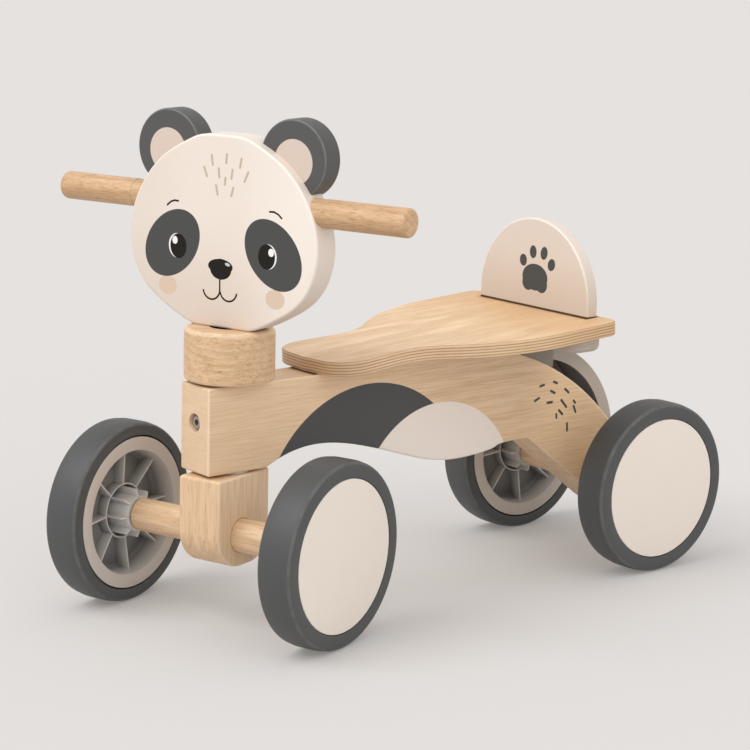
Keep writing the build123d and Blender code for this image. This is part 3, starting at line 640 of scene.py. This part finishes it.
block = timber(
    "block_wood", "z", block_pale, block_dark,
    heart=(-35, -90), spacing=9, rings=0.40, pores=0.5, **steered,
)
on_block_side = abs(block.facing_x).rise(0.5, 0.9)
# Painted light: the sides are paler, against the shade of the wheel beside them.
block.cover(on_block_side * 0.8, block_side_light)
streaked(block, block.x, block.y, block.z, on_block_side * 0.6, block_streak)
by_bore = away(block.y, block.z, (front_axle_y, wheel_radius)).rise(axle_radius + 1.1, axle_radius)
block.cover(by_bore * abs(block.facing_x).rise(0.8, 0.95) * 0.7, bore_shade)
eased(block, block.facing_x, sanded_edge_and_highlight, 0.4)
wears(block.done(), "front_block")

collar = timber(
    "collar_wood", "x", collar_pale, collar_dark,
    heart=(15, -160), spacing=6, rings=0.45, pores=0.7,
    turn=steering_turn + collar_grain_turn, centre=steering_axis,
)
eased(collar, collar.facing_z, sanded_edge_and_highlight, 0.35)
wears(collar.done(), "collar")

cap_disc = Finish("cap_disc_plastic", cap_black, 0.5)
cap_disc.cover(cap_disc.cloud(3).rise(0.4, 0.8), cap_worn_black)
cap_disc.relief(cap_disc.cloud(0.4), 0.02)
wears(cap_disc.done(), "collar_cap_disc")


# Dowels, pins and handles: rubberwood rod, grain along its length, ends rounded over. The
# pins that cross an upright piece have their grain upright too.
rod_pale = (0.84, 0.60, 0.385, 1)
rod_dark = (0.58, 0.36, 0.19, 1)
handle_pale = (0.70, 0.465, 0.27, 1)
handle_dark = (0.47, 0.265, 0.12, 1)
handle_fleck = (0.42, 0.20, 0.085, 1)
handle_underside_shade = (0.40, 0.225, 0.10, 1)
pin_pale = (0.74, 0.51, 0.315, 1)
pin_dark = (0.53, 0.32, 0.165, 1)

bar = timber(
    "handle_wood", "x", handle_pale, handle_dark,
    heart=(70, 420), spacing=6, rings=0.38, pores=0.4, **steered,
)
flecks = bar.noise(bar.y / 0.9, bar.z / 0.9, bar.x / 7, detail=3).rise(0.5, 0.66)
bar.cover(flecks * 0.6, handle_fleck)
# Painted shade: the handles' undersides are darker.
bar.cover(bar.facing_z.rise(0.1, -0.9) * 0.4, handle_underside_shade)
wears(bar.done(), "handle_left", "handle_right")
front_rod = timber(
    "steered_dowel_wood", "x", rod_pale, rod_dark,
    heart=(70, 20), spacing=6, rings=0.38, pores=0.55, **steered,
)
wears(front_rod.done(), "front_axle")
rear_rod = timber(
    "dowel_wood", "x", rod_pale, rod_dark, heart=(240, 130), spacing=6, rings=0.38, pores=0.55,
)
wears(rear_rod.done(), "rear_axle", "seat_dowels", "rear_axle_pin")
pin_wood = timber(
    "pin_wood", "z", pin_pale, pin_dark, heart=(30, 60), spacing=4, rings=0.3, pores=0.5,
)
wears(pin_wood.done(), "front_axle_pin", "head_dowels", "ear_dowels", "post_pins")


# Head: a thick painted plate cut to a rounded outline, its face stencilled in slate, black,
# white and peach on the front. Two hidden dowels stand it on the collar.
black_paint = (0.007, 0.005, 0.003, 1)
white_paint = (0.90, 0.89, 0.87, 1)
peach_paint = (0.71, 0.55, 0.425, 1)
fur_paint = (0.57, 0.45, 0.36, 1)
nose_gloss = (0.62, 0.60, 0.57, 1)
lower_face_shade = (0.70, 0.59, 0.50, 1)
face_side_shade = (0.72, 0.625, 0.54, 1)
line_width = 1.5
fur_width = 1.9
brows = [
    ((-53.5, 332.2), (-49.9, 335.1)), ((-49.9, 335.1), (-46.3, 336.4)),
    ((-46.3, 336.4), (-42.6, 336.2)), ((46.4, 335.8), (50.5, 336.0)),
    ((50.5, 336.0), (54.6, 334.4)), ((54.6, 334.4), (57.7, 331.8)),
]
fur = [
    ((-9.9, 374.8), (-8.8, 367.4)), ((4.8, 376.7), (4.2, 369.8)),
    ((19.0, 374.3), (17.5, 367.3)), ((-17.3, 365.1), (-14.4, 358.1)),
    ((-3.1, 365.0), (-2.3, 358.2)), ((10.4, 364.8), (9.4, 358.1)),
    ((25.5, 364.2), (22.0, 356.8)), ((3.6, 358.2), (3.1, 352.9)),
    ((-5.5, 351.6), (-3.9, 344.7)), ((11.3, 351.1), (9.4, 344.6)),
]


def bow(x, y, centre, radius, width, low):
    """1 along the part of a ring that lies below a level, 0 elsewhere."""
    ring = abs(away(x, y, centre) - radius)
    below = y.rise(low + 0.15, low - 0.15)
    return ring.rise(width / 2 + paint_edge, width / 2 - paint_edge) * below


face = painted("head_paint", cream_paint, pale_wear_and_light, **steered)
# Painted shade: darker towards the chin. Painted light and shade: the front is paler to the bike's
# left, darker to its right.
face.cover(face.z.rise(340, 245) * 0.8, lower_face_shade)
front = face.facing_y.rise(-0.8, -0.95)
face.cover(face.x.rise(0, 85) * front * 0.55, pale_wear_and_light)
face.cover(face.x.rise(-20, -85) * front * 0.4, face_side_shade)

cheeks = spot(abs(face.x), face.z, (52.6, 268.5), 9.1, 7.6)
face.cover(cheeks * front, peach_paint)
eye_x = abs(face.x - 0.9)
patches = spot(eye_x, face.z, (49.2, 302.6), 31, 23, -math.radians(45))
face.cover(patches * front, slate_paint)
face.cover(spot(eye_x, face.z, (44.5, 300.9), 8.2, 9.7) * front, white_paint)
face.cover(spot(eye_x, face.z, (43.1, 300.7), 8.1, 9.8) * front, black_paint)
shine = spot(face.x, face.z, (48.3, 304.4), 2.7, 3.1)
shine = shine.most(spot(face.x, face.z, (-45.7, 305.1), 2.6, 3.1))
face.cover(shine * front, white_paint)

nose = spot(face.x, face.z, (-0.5, 288.6), 12, 5.9)
nose = nose.most(spot(face.x, face.z, (-0.2, 286.5), 10.4, 8.2))
face.cover(nose * front, black_paint)
face.cover(spot(face.x, face.z, (6.4, 290.8), 2.5, 1.2, -0.24) * front, nose_gloss)
mouth = bow(abs(face.x + 0.7), face.z, (8.3, 270.1), 8.15, line_width, 269)
mouth = mouth.most(dash(face.x, face.z, (-0.9, 279), (-0.9, 268), line_width))
face.cover(mouth * front, black_paint)
face.cover(strokes(face.x, face.z, brows, line_width) * front, black_paint)
face.cover(strokes(face.x, face.z, fur, fur_width) * front, fur_paint)
wears(face.done(), "head")


# Ears: painted wooden discs, slate with a cream inner circle on the front. Each is cut out
# to the head's rim and held there by a dowel.
ear_slate = (0.098, 0.099, 0.099, 1)
slate_wear_and_highlight = (0.20, 0.20, 0.198, 1)
ear_cream = (0.70, 0.585, 0.505, 1)
ear_centre = (61, 374)
ear_inner_radius = 17.8

# The rounded edges are paler as wear and a painted highlight.
ears = painted("ear_paint", ear_slate, slate_wear_and_highlight, **steered)
ear_inner = spot(abs(ears.x), ears.z, ear_centre, ear_inner_radius, ear_inner_radius)
ears.cover(ear_inner * ears.facing_y.rise(-0.8, -0.95), ear_cream)
wears(ears.done(), "ear_left", "ear_right")


# Tyres: a moulded rubber ring with rounded shoulders, pressed onto the hub's rim. A lip on
# the outer side hides the joint with the hub cap.
wheel_width = 30.6
shoulder = 3.5
tread_fall = 0.75
rim_radius = 63.3
lip_radius = 61.6
cap_seat = 27.1
soft_edge = 0.35
round_steps = 128
rubber_black = (0.070, 0.0735, 0.0745, 1)
rubber_shoulder_highlight = (0.15, 0.15, 0.149, 1)
joint_shade = (0.01, 0.01, 0.01, 1)
rubber_grain = 0.35
wheel_rows = (
    ("front", front_axle_y, 90.0, steering_turn),
    ("rear", 389.5, 72.9, 0),
)

wheels = {}
for place, axle_y, plane, steer in wheel_rows:
    for side, sign in (("left", 1), ("right", -1)):
        at_axle = Matrix.Translation((sign * plane, axle_y, wheel_radius))
        outward = Matrix.Rotation(0 if sign > 0 else math.pi, 4, "Z")
        bike = Matrix.Translation(steering_axis) @ Matrix.Rotation(steer, 4, "Z")
        wheels[f"{place}_{side}"] = bike @ at_axle @ outward


def arc(centre, radius, start, end, steps=8):
    """Points of a round corner in an outline, between two angles in degrees."""
    turns = [math.radians(start + (end - start) * step / steps) for step in range(steps + 1)]
    return [
        (centre[0] + radius * math.cos(t), centre[1] + radius * math.sin(t)) for t in turns
    ]


def turned(shape, outline, steps=round_steps):
    """Turns a closed outline of (along, radius) points about the X axis."""
    rows = []
    for along, radius in outline:
        if radius == 0:
            rows.append([shape.verts.new((along, 0, 0))] * steps)
            continue
        angles = [math.tau * step / steps for step in range(steps)]
        row = [(along, radius * math.cos(a), radius * math.sin(a)) for a in angles]
        rows.append([shape.verts.new(point) for point in row])
    for row, after in zip(rows, rows[1:] + rows[:1]):
        for step in range(steps):
            following = (step + 1) % steps
            ring = (row[step], row[following], after[following], after[step])
            ring = list(dict.fromkeys(ring))
            if len(ring) > 2:
                shape.faces.new(ring)


def rounded_over(shape, name, edge=soft_edge):
    """Rounds the sharp edges of a shape drawn in millimetres and gives it as a mesh."""
    bmesh.ops.recalc_face_normals(shape, faces=shape.faces)
    sharp = [e for e in shape.edges if len(e.link_faces) == 2 and e.calc_face_angle() > 0.6]
    bmesh.ops.bevel(
        shape, geom=sharp, offset=edge, segments=2, profile=0.5, affect="EDGES",
        clamp_overlap=True,
    )
    mesh = bpy.data.meshes.new(name)
    shape.to_mesh(mesh)
    shape.free()
    mesh.shade_smooth()
    mesh.set_sharp_from_angle(angle=math.radians(38))
    return mesh


def fitted(mesh, name, place, body, slot, *materials):
    """Puts a mesh drawn in millimetres in its place on its body.

    It stands for the node that has its name without "_detail".
    """
    own = mesh.copy()
    own.transform(Matrix.Scale(0.001, 4) @ place)
    for material in materials:
        own.materials.append(material)
    piece = bpy.data.objects.new(name, own)
    bpy.context.scene.collection.objects.link(piece)
    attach(piece, body)
    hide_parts(name.removesuffix("_detail"))
    return piece


tyre_shape = bmesh.new()
shoulder_radius = wheel_radius - tread_fall - shoulder
crown = []
for part in (0.25, 0.37, 0.5, 0.63, 0.75):
    fall = tread_fall * (2 * part - 1) ** 4
    crown.append((wheel_width * part, wheel_radius - fall))
turned(tyre_shape, [
    (3, rim_radius),
    (0, rim_radius + 1),
    *arc((shoulder, shoulder_radius), shoulder, 180, 90),
    *crown,
    *arc((wheel_width - shoulder, shoulder_radius), shoulder, 90, 0),
    (wheel_width, lip_radius),
    (cap_seat, lip_radius),
    (cap_seat, rim_radius),
])
tyre_mesh = rounded_over(tyre_shape, "tyre")
tyre_deep = tyre_mesh.attributes.new("deep", "FLOAT", "POINT")
for vertex in tyre_mesh.vertices:
    along, radius = vertex.co.x, math.hypot(vertex.co.y, vertex.co.z)
    by_hub = 0.2 < along < 4 and radius < rim_radius + 0.97
    by_cap = along > cap_seat - 1 and radius < lip_radius + 0.1
    tyre_deep.data[vertex.index].value = float(by_hub or by_cap)
for place, _, _, steer in wheel_rows:
    rubber = moulded(
        f"{place}_tyre_rubber", rubber_black, rubber_grain, turn=steer, centre=steering_axis,
    )
    # Painted shadow lines at the joints with hub and cap, and a painted highlight along the
    # shoulders.
    rubber.cover(rubber.own("deep"), joint_shade)
    shoulder_highlight_share = rubber.cloud(9, 3).rise(0.3, 0.65) * 0.4 + 0.2
    eased(rubber, rubber.facing_x, rubber_shoulder_highlight, shoulder_highlight_share)
    rubber = rubber.done()
    for side in ("left", "right"):
        wheel = f"{place}_{side}"
        fitted(
            tyre_mesh, f"{wheel}_tyre_detail", wheels[wheel], f"{wheel}_wheel", "tyre", rubber,
        )


# Hubs: one moulding of grey plastic with a flat ring, a deep dish with eight ribs and a
# small ring, and a core with fins. It turns on the shoulder screw in the dowel's end.
flange_width = 11.4
wall = 3
dish_front, dish_back = 20, 22.5
dish_radius = rim_radius - flange_width
bore = 4.05
core_front, core_radius = -5.4, 15
small_ring_front, small_ring_radius = 10, 23
small_ring_wall = 1.3
rib_count = 8
rib_thickness = 1.5
fin_thickness = 1.6
rib_depth = 21.2
first_rib_angle = math.radians(-3)

hub_colour = (0.61, 0.59, 0.56, 1)
dish_shade = (0.15, 0.152, 0.15, 1)
rib_edge_highlight = (0.72, 0.69, 0.65, 1)
flange_colour = (0.585, 0.525, 0.47, 1)

hub_shape = bmesh.new()
turned(hub_shape, [
    (0, dish_radius),
    (0, rim_radius - 0.6),
    (3, rim_radius),
    (cap_seat, rim_radius),
    (cap_seat, rim_radius - 2 * wall),
    (cap_seat - wall, rim_radius - 2 * wall),
    (cap_seat - wall, rim_radius - wall),
    (wall, rim_radius - wall),
    (wall, dish_radius + wall),
    (dish_back - wall, dish_radius),
    (dish_back, dish_radius - wall),
    (dish_back, bore),
    (dish_front, bore),
    (dish_front, dish_radius - 2 * wall),
    (dish_front - wall, dish_radius - wall),
])
flat_ring = [f for f in hub_shape.faces if all(v.co.x < 0.01 for v in f.verts)]
turned(hub_shape, [
    (small_ring_front, small_ring_radius - small_ring_wall),
    (small_ring_front, small_ring_radius),
    (dish_back, small_ring_radius),
    (dish_back, small_ring_radius - small_ring_wall),
])
turned(hub_shape, [
    (core_front, bore), (core_front, core_radius), (dish_back, core_radius), (dish_back, bore),
])
for ring_face in flat_ring:
    ring_face.material_index = 1
hub_mesh = rounded_over(hub_shape, "hub", 0.3)


def plate(name, outline, thickness):
    """A flat plate of (along, radius) corners, as thick as given, with rounded edges."""
    shape = bmesh.new()
    near = [shape.verts.new((along, radius, thickness / 2)) for along, radius in outline]
    far = [shape.verts.new((along, radius, -thickness / 2)) for along, radius in outline]
    shape.faces.new(near)
    shape.faces.new(list(reversed(far)))
    for i, j in zip(range(len(outline)), [*range(1, len(outline)), 0]):
        shape.faces.new((near[j], near[i], far[i], far[j]))
    drawn = bpy.data.objects.new(name, rounded_over(shape, name, 0.25))
    bpy.context.scene.collection.objects.link(drawn)
    return drawn


rib = plate("hub_rib", [
    (small_ring_front, small_ring_radius - 0.7),
    (7, dish_radius + 0.5),
    (17, dish_radius + 0.5),
    (rib_depth, 49),
    (rib_depth, small_ring_radius - 0.7),
], rib_thickness)
fin = plate("hub_fin", [
    (core_front, 13.4), (core_front, core_radius), (-3.2, 20.6), (rib_depth, 20.6),
    (rib_depth, 13.4),
], fin_thickness)


def sized_tree(name, **sizes):
    """An empty node tree with geometry in and out and a named input for each size."""
    tree = bpy.data.node_groups.new(name, "GeometryNodeTree")
    sockets = tree.interface
    sockets.new_socket("Geometry", in_out="OUTPUT", socket_type="NodeSocketGeometry")
    sockets.new_socket("Geometry", in_out="INPUT", socket_type="NodeSocketGeometry")
    for size, kind in sizes.items():
        shown = size.replace("_", " ").title()
        sockets.new_socket(shown, in_out="INPUT", socket_type=f"NodeSocket{kind}")
    given = tree.nodes.new("NodeGroupInput").outputs
    return tree, given, tree.nodes.new("NodeGroupOutput").inputs


def grown(mesh, tree, **values):
    """The plain mesh that a node tree makes of a mesh with the given sizes."""
    holder = bpy.data.objects.new(tree.name, mesh)
    bpy.context.scene.collection.objects.link(holder)
    modifier = holder.modifiers.new(tree.name, "NODES")
    modifier.node_group = tree
    named = {name.replace("_", " ").title(): value for name, value in values.items()}
    for socket in tree.interface.items_tree:
        if socket.in_out == "INPUT" and socket.name in named:
            modifier[socket.identifier] = named[socket.name]
    depsgraph = bpy.context.evaluated_depsgraph_get()
    result = bpy.data.meshes.new_from_object(holder.evaluated_get(depsgraph))
    bpy.data.objects.remove(holder)
    return result


ribbing, sizes, result = sized_tree(
    "hub_ribbing",
    rib="Object", fin="Object", rib_count="Int", first_angle="Float", plastic="Material",
)
centres = ribbing.nodes.new("GeometryNodePoints")
number = ribbing.nodes.new("GeometryNodeInputIndex")
step_angle = ribbing.nodes.new("ShaderNodeMath")
step_angle.operation = "DIVIDE"
step_angle.inputs[0].default_value = math.tau
angle = ribbing.nodes.new("ShaderNodeMath")
angle.operation = "MULTIPLY_ADD"
about_x = ribbing.nodes.new("ShaderNodeCombineXYZ")
all_ribs = ribbing.nodes.new("GeometryNodeJoinGeometry")
real = ribbing.nodes.new("GeometryNodeRealizeInstances")
plastic_set = ribbing.nodes.new("GeometryNodeSetMaterial")
whole = ribbing.nodes.new("GeometryNodeJoinGeometry")
for source, target in (
    (sizes["Rib Count"], centres.inputs["Count"]),
    (sizes["Rib Count"], step_angle.inputs[1]),
    (number.outputs[0], angle.inputs[0]),
    (step_angle.outputs[0], angle.inputs[1]),
    (sizes["First Angle"], angle.inputs[2]),
    (angle.outputs[0], about_x.inputs["X"]),
):
    ribbing.links.new(source, target)
for shape_name in ("Rib", "Fin"):
    one = ribbing.nodes.new("GeometryNodeObjectInfo")
    ribbing.links.new(sizes[shape_name], one.inputs["Object"])
    copies = ribbing.nodes.new("GeometryNodeInstanceOnPoints")
    ribbing.links.new(centres.outputs[0], copies.inputs["Points"])
    ribbing.links.new(one.outputs["Geometry"], copies.inputs["Instance"])
    ribbing.links.new(about_x.outputs[0], copies.inputs["Rotation"])
    ribbing.links.new(copies.outputs[0], all_ribs.inputs[0])
for source, target in (
    (all_ribs.outputs[0], real.inputs[0]),
    (real.outputs[0], plastic_set.inputs["Geometry"]),
    (sizes["Plastic"], plastic_set.inputs["Material"]),
    (plastic_set.outputs[0], whole.inputs[0]),
    (sizes["Geometry"], whole.inputs[0]),
    (whole.outputs[0], result[0]),
):
    ribbing.links.new(source, target)

hub_plastic = moulded("hub_plastic", hub_colour, moulded_grain)
hub_plastic.cover(hub_plastic.own("deep"), dish_shade)
hub_plastic.cover(hub_plastic.own("edge") * 0.4, rib_edge_highlight)
hub_grey = hub_plastic.done()
flange_grey = moulded("hub_flange_plastic", flange_colour, moulded_grain).done()
hub_mesh.materials.append(hub_grey)
hub_mesh.materials.append(flange_grey)
ribbed = grown(
    hub_mesh, ribbing,
    rib=rib, fin=fin, rib_count=rib_count, first_angle=first_rib_angle, plastic=hub_grey,
)
for drawn in (rib, fin):
    bpy.data.objects.remove(drawn)

# The dish is painted darker with its depth, as shade, the core half as much, and the joint
# with the tyre most of all; the free edges of ribs and rings are painted paler as highlight.
joint_depth = 1.3
core_share = 0.45
deep = ribbed.attributes.new("deep", "FLOAT", "POINT")
edge = ribbed.attributes.new("edge", "FLOAT", "FACE")
for vertex in ribbed.vertices:
    along, radius = vertex.co.x, math.hypot(vertex.co.y, vertex.co.z)
    sunk = min(max((along - 4) / 16, 0), 1)
    if radius > rim_radius - 0.7 and along > 0.15:
        sunk = joint_depth
    in_core = radius <= small_ring_radius - 0.2
    deep.data[vertex.index].value = sunk * (core_share if in_core else 1)
for polygon in ribbed.polygons:
    along, radius = polygon.center.x, math.hypot(polygon.center.y, polygon.center.z)
    free = along < 12 and radius < dish_radius and polygon.normal.x < -0.6
    edge.data[polygon.index].value = float(free)
for wheel, at_wheel in wheels.items():
    fitted(ribbed, f"{wheel}_hub_detail", at_wheel, f"{wheel}_wheel", "hub")


# Hub caps: thin discs painted cream, glued to the hub's outer rim inside the tyre's lip,
# almost level with the tyre's side.
cap_thickness = 3.4
cap_corner = 0.8
cap_radius = lip_radius - 0.5

cap_shape = bmesh.new()
turned(cap_shape, [
    (cap_seat, 0),
    (cap_seat, cap_radius),
    *arc(
        (cap_seat + cap_thickness - cap_corner, cap_radius - cap_corner),
        cap_corner, 90, 0, 4,
    ),
    (cap_seat + cap_thickness, 0),
])
cap_mesh = rounded_over(cap_shape, "hub_cap", 0.2)
for place, _, _, steer in wheel_rows:
    # Paler rounded edges: wear and a painted highlight.
    cap_paint = painted(
        f"{place}_cap_paint", cream_paint, pale_wear_and_light,
        across="x", turn=steer, centre=steering_axis,
    ).done()
    for side in ("left", "right"):
        wheel = f"{place}_{side}"
        fitted(
            cap_mesh, f"{wheel}_hub_cap_detail", wheels[wheel], f"{wheel}_wheel",
            "cream_cap", cap_paint,
        )


# Shoulder screws and washers: turned zinc-plated steel, closed in behind the hub caps. The
# shoulder is the wheel's bearing, and the washer keeps the hub on it.
wears(zinc, "front_axle_screws", "front_axle_washers", "rear_axle_screws", "rear_axle_washers")


# Wood screws: countersunk, cross-recessed and zinc-plated. Two hold the backrest, three the
# bridge, one the guard, and two lock the handles from the back of the head.
screw_head_radius = 4.5
screw_core_radius = 2.25
recess_width = 1.1
recess_length = 5.2
recess_depth = 1.6
backrest_y, bridge_y, guard_y = 329.4, 317.0, 322.0


def countersunk(length):
    """One screw along X with the top of its head at the origin, a cross sunk in the head."""
    shape = bmesh.new()
    turned(shape, [
        (0, 0),
        (0, screw_head_radius),
        (-0.3, screw_head_radius),
        (screw_core_radius - screw_head_radius, screw_core_radius),
        (4 - length, screw_core_radius),
        (-length, 0.4),
        (-length, 0),
    ], 48)
    screw = bpy.data.objects.new("wood_screw", rounded_over(shape, "wood_screw", 0.12))
    cross = bmesh.new()
    for wide, high in ((recess_width, recess_length), (recess_length, recess_width)):
        reach = Matrix.Diagonal((2 * recess_depth, wide, high, 1))
        bmesh.ops.create_cube(cross, size=1, matrix=reach)
    cross_mesh = bpy.data.meshes.new("cross_recess")
    cross.to_mesh(cross_mesh)
    cross.free()
    cutter = bpy.data.objects.new("cross_recess", cross_mesh)
    for piece in (screw, cutter):
        bpy.context.scene.collection.objects.link(piece)
    recess = screw.modifiers.new("cross_recess", "BOOLEAN")
    recess.object = cutter
    recess.solver = "EXACT"
    recess.use_self = True
    depsgraph = bpy.context.evaluated_depsgraph_get()
    mesh = bpy.data.meshes.new_from_object(screw.evaluated_get(depsgraph))
    for piece in (screw, cutter):
        bpy.data.objects.remove(piece)
    return mesh


screw_row, sizes, result = sized_tree(
    "screw_row", count="Int", spacing="Float", steel="Material",
)
line = screw_row.nodes.new("GeometryNodeMeshLine")
apart = screw_row.nodes.new("ShaderNodeCombineXYZ")
first = screw_row.nodes.new("ShaderNodeMath")
first.operation = "MULTIPLY"
first.inputs[1].default_value = -0.5
total = screw_row.nodes.new("ShaderNodeMath")
total.operation = "MULTIPLY"
gaps = screw_row.nodes.new("ShaderNodeMath")
gaps.operation = "SUBTRACT"
gaps.inputs[1].default_value = 1
start = screw_row.nodes.new("ShaderNodeCombineXYZ")
copies = screw_row.nodes.new("GeometryNodeInstanceOnPoints")
real = screw_row.nodes.new("GeometryNodeRealizeInstances")
steel_set = screw_row.nodes.new("GeometryNodeSetMaterial")
for source, target in (
    (sizes["Count"], line.inputs["Count"]),
    (sizes["Spacing"], apart.inputs["Y"]),
    (apart.outputs[0], line.inputs["Offset"]),
    (sizes["Count"], gaps.inputs[0]),
    (gaps.outputs[0], total.inputs[0]),
    (sizes["Spacing"], total.inputs[1]),
    (total.outputs[0], first.inputs[0]),
    (first.outputs[0], start.inputs["Y"]),
    (start.outputs[0], line.inputs["Start Location"]),
    (line.outputs[0], copies.inputs["Points"]),
    (sizes["Geometry"], copies.inputs["Instance"]),
    (copies.outputs[0], real.inputs[0]),
    (real.outputs[0], steel_set.inputs["Geometry"]),
    (sizes["Steel"], steel_set.inputs["Material"]),
    (steel_set.outputs[0], result[0]),
):
    screw_row.links.new(source, target)


def seat_bottom(y):
    """Height of the seat board's underside."""
    return seat_front[1] + (y - seat_front[0]) * math.tan(seat_slope)


def screws(length, count, spacing, place, facing, bike):
    """A row of screws across the bike about a place, with their heads facing one way."""
    mesh = grown(countersunk(length), screw_row, count=count, spacing=spacing, steel=zinc)
    facing, along = Vector(facing), Vector((1, 0, 0))
    turn = Matrix((facing, along, facing.cross(along))).transposed().to_4x4()
    mesh.transform(bike @ Matrix.Translation(place) @ turn)
    return mesh


def joined(meshes):
    """Several meshes of steel as one."""
    shape = bmesh.new()
    for mesh in meshes:
        shape.from_mesh(mesh)
    whole = bpy.data.meshes.new("screws")
    shape.to_mesh(whole)
    shape.free()
    whole.materials.append(zinc)
    whole.set_sharp_from_angle(angle=math.radians(38))
    return whole


still = Matrix.Translation(steering_axis)
steering = still @ Matrix.Rotation(steering_turn, 4, "Z")
upwards, downwards, backwards = (0, 0, 1), (0, 0, -1), (0, 1, 0)
under_seat = (0, math.sin(seat_slope), -math.cos(seat_slope))
placed = Matrix.Identity(4)
backrest_pair = screws(
    37, 2, spacing=68, place=(0, backrest_y, seat_bottom(backrest_y)),
    facing=under_seat, bike=still,
)
fitted(backrest_pair, "backrest_screws_detail", placed, "frame", "steel")
bridge_three = joined([
    screws(20, 2, spacing=80, place=(0, bridge_y, 198.5), facing=downwards, bike=still),
    screws(
        45, 1, spacing=0, place=(0, bridge_y, seat_bottom(bridge_y)),
        facing=upwards, bike=still,
    ),
])
fitted(bridge_three, "bridge_screws_detail", placed, "frame", "steel")
guard_one = screws(14, 1, spacing=0, place=(-51, guard_y, 193.5), facing=downwards, bike=still)
fitted(guard_one, "guard_screw_detail", placed, "frame", "steel")
handle_pair = screws(
    18.75, 2, spacing=130, place=(0, 12.5, 337.2), facing=backwards, bike=steering,
)
fitted(handle_pair, "handle_screws_detail", placed, "steering", "steel")
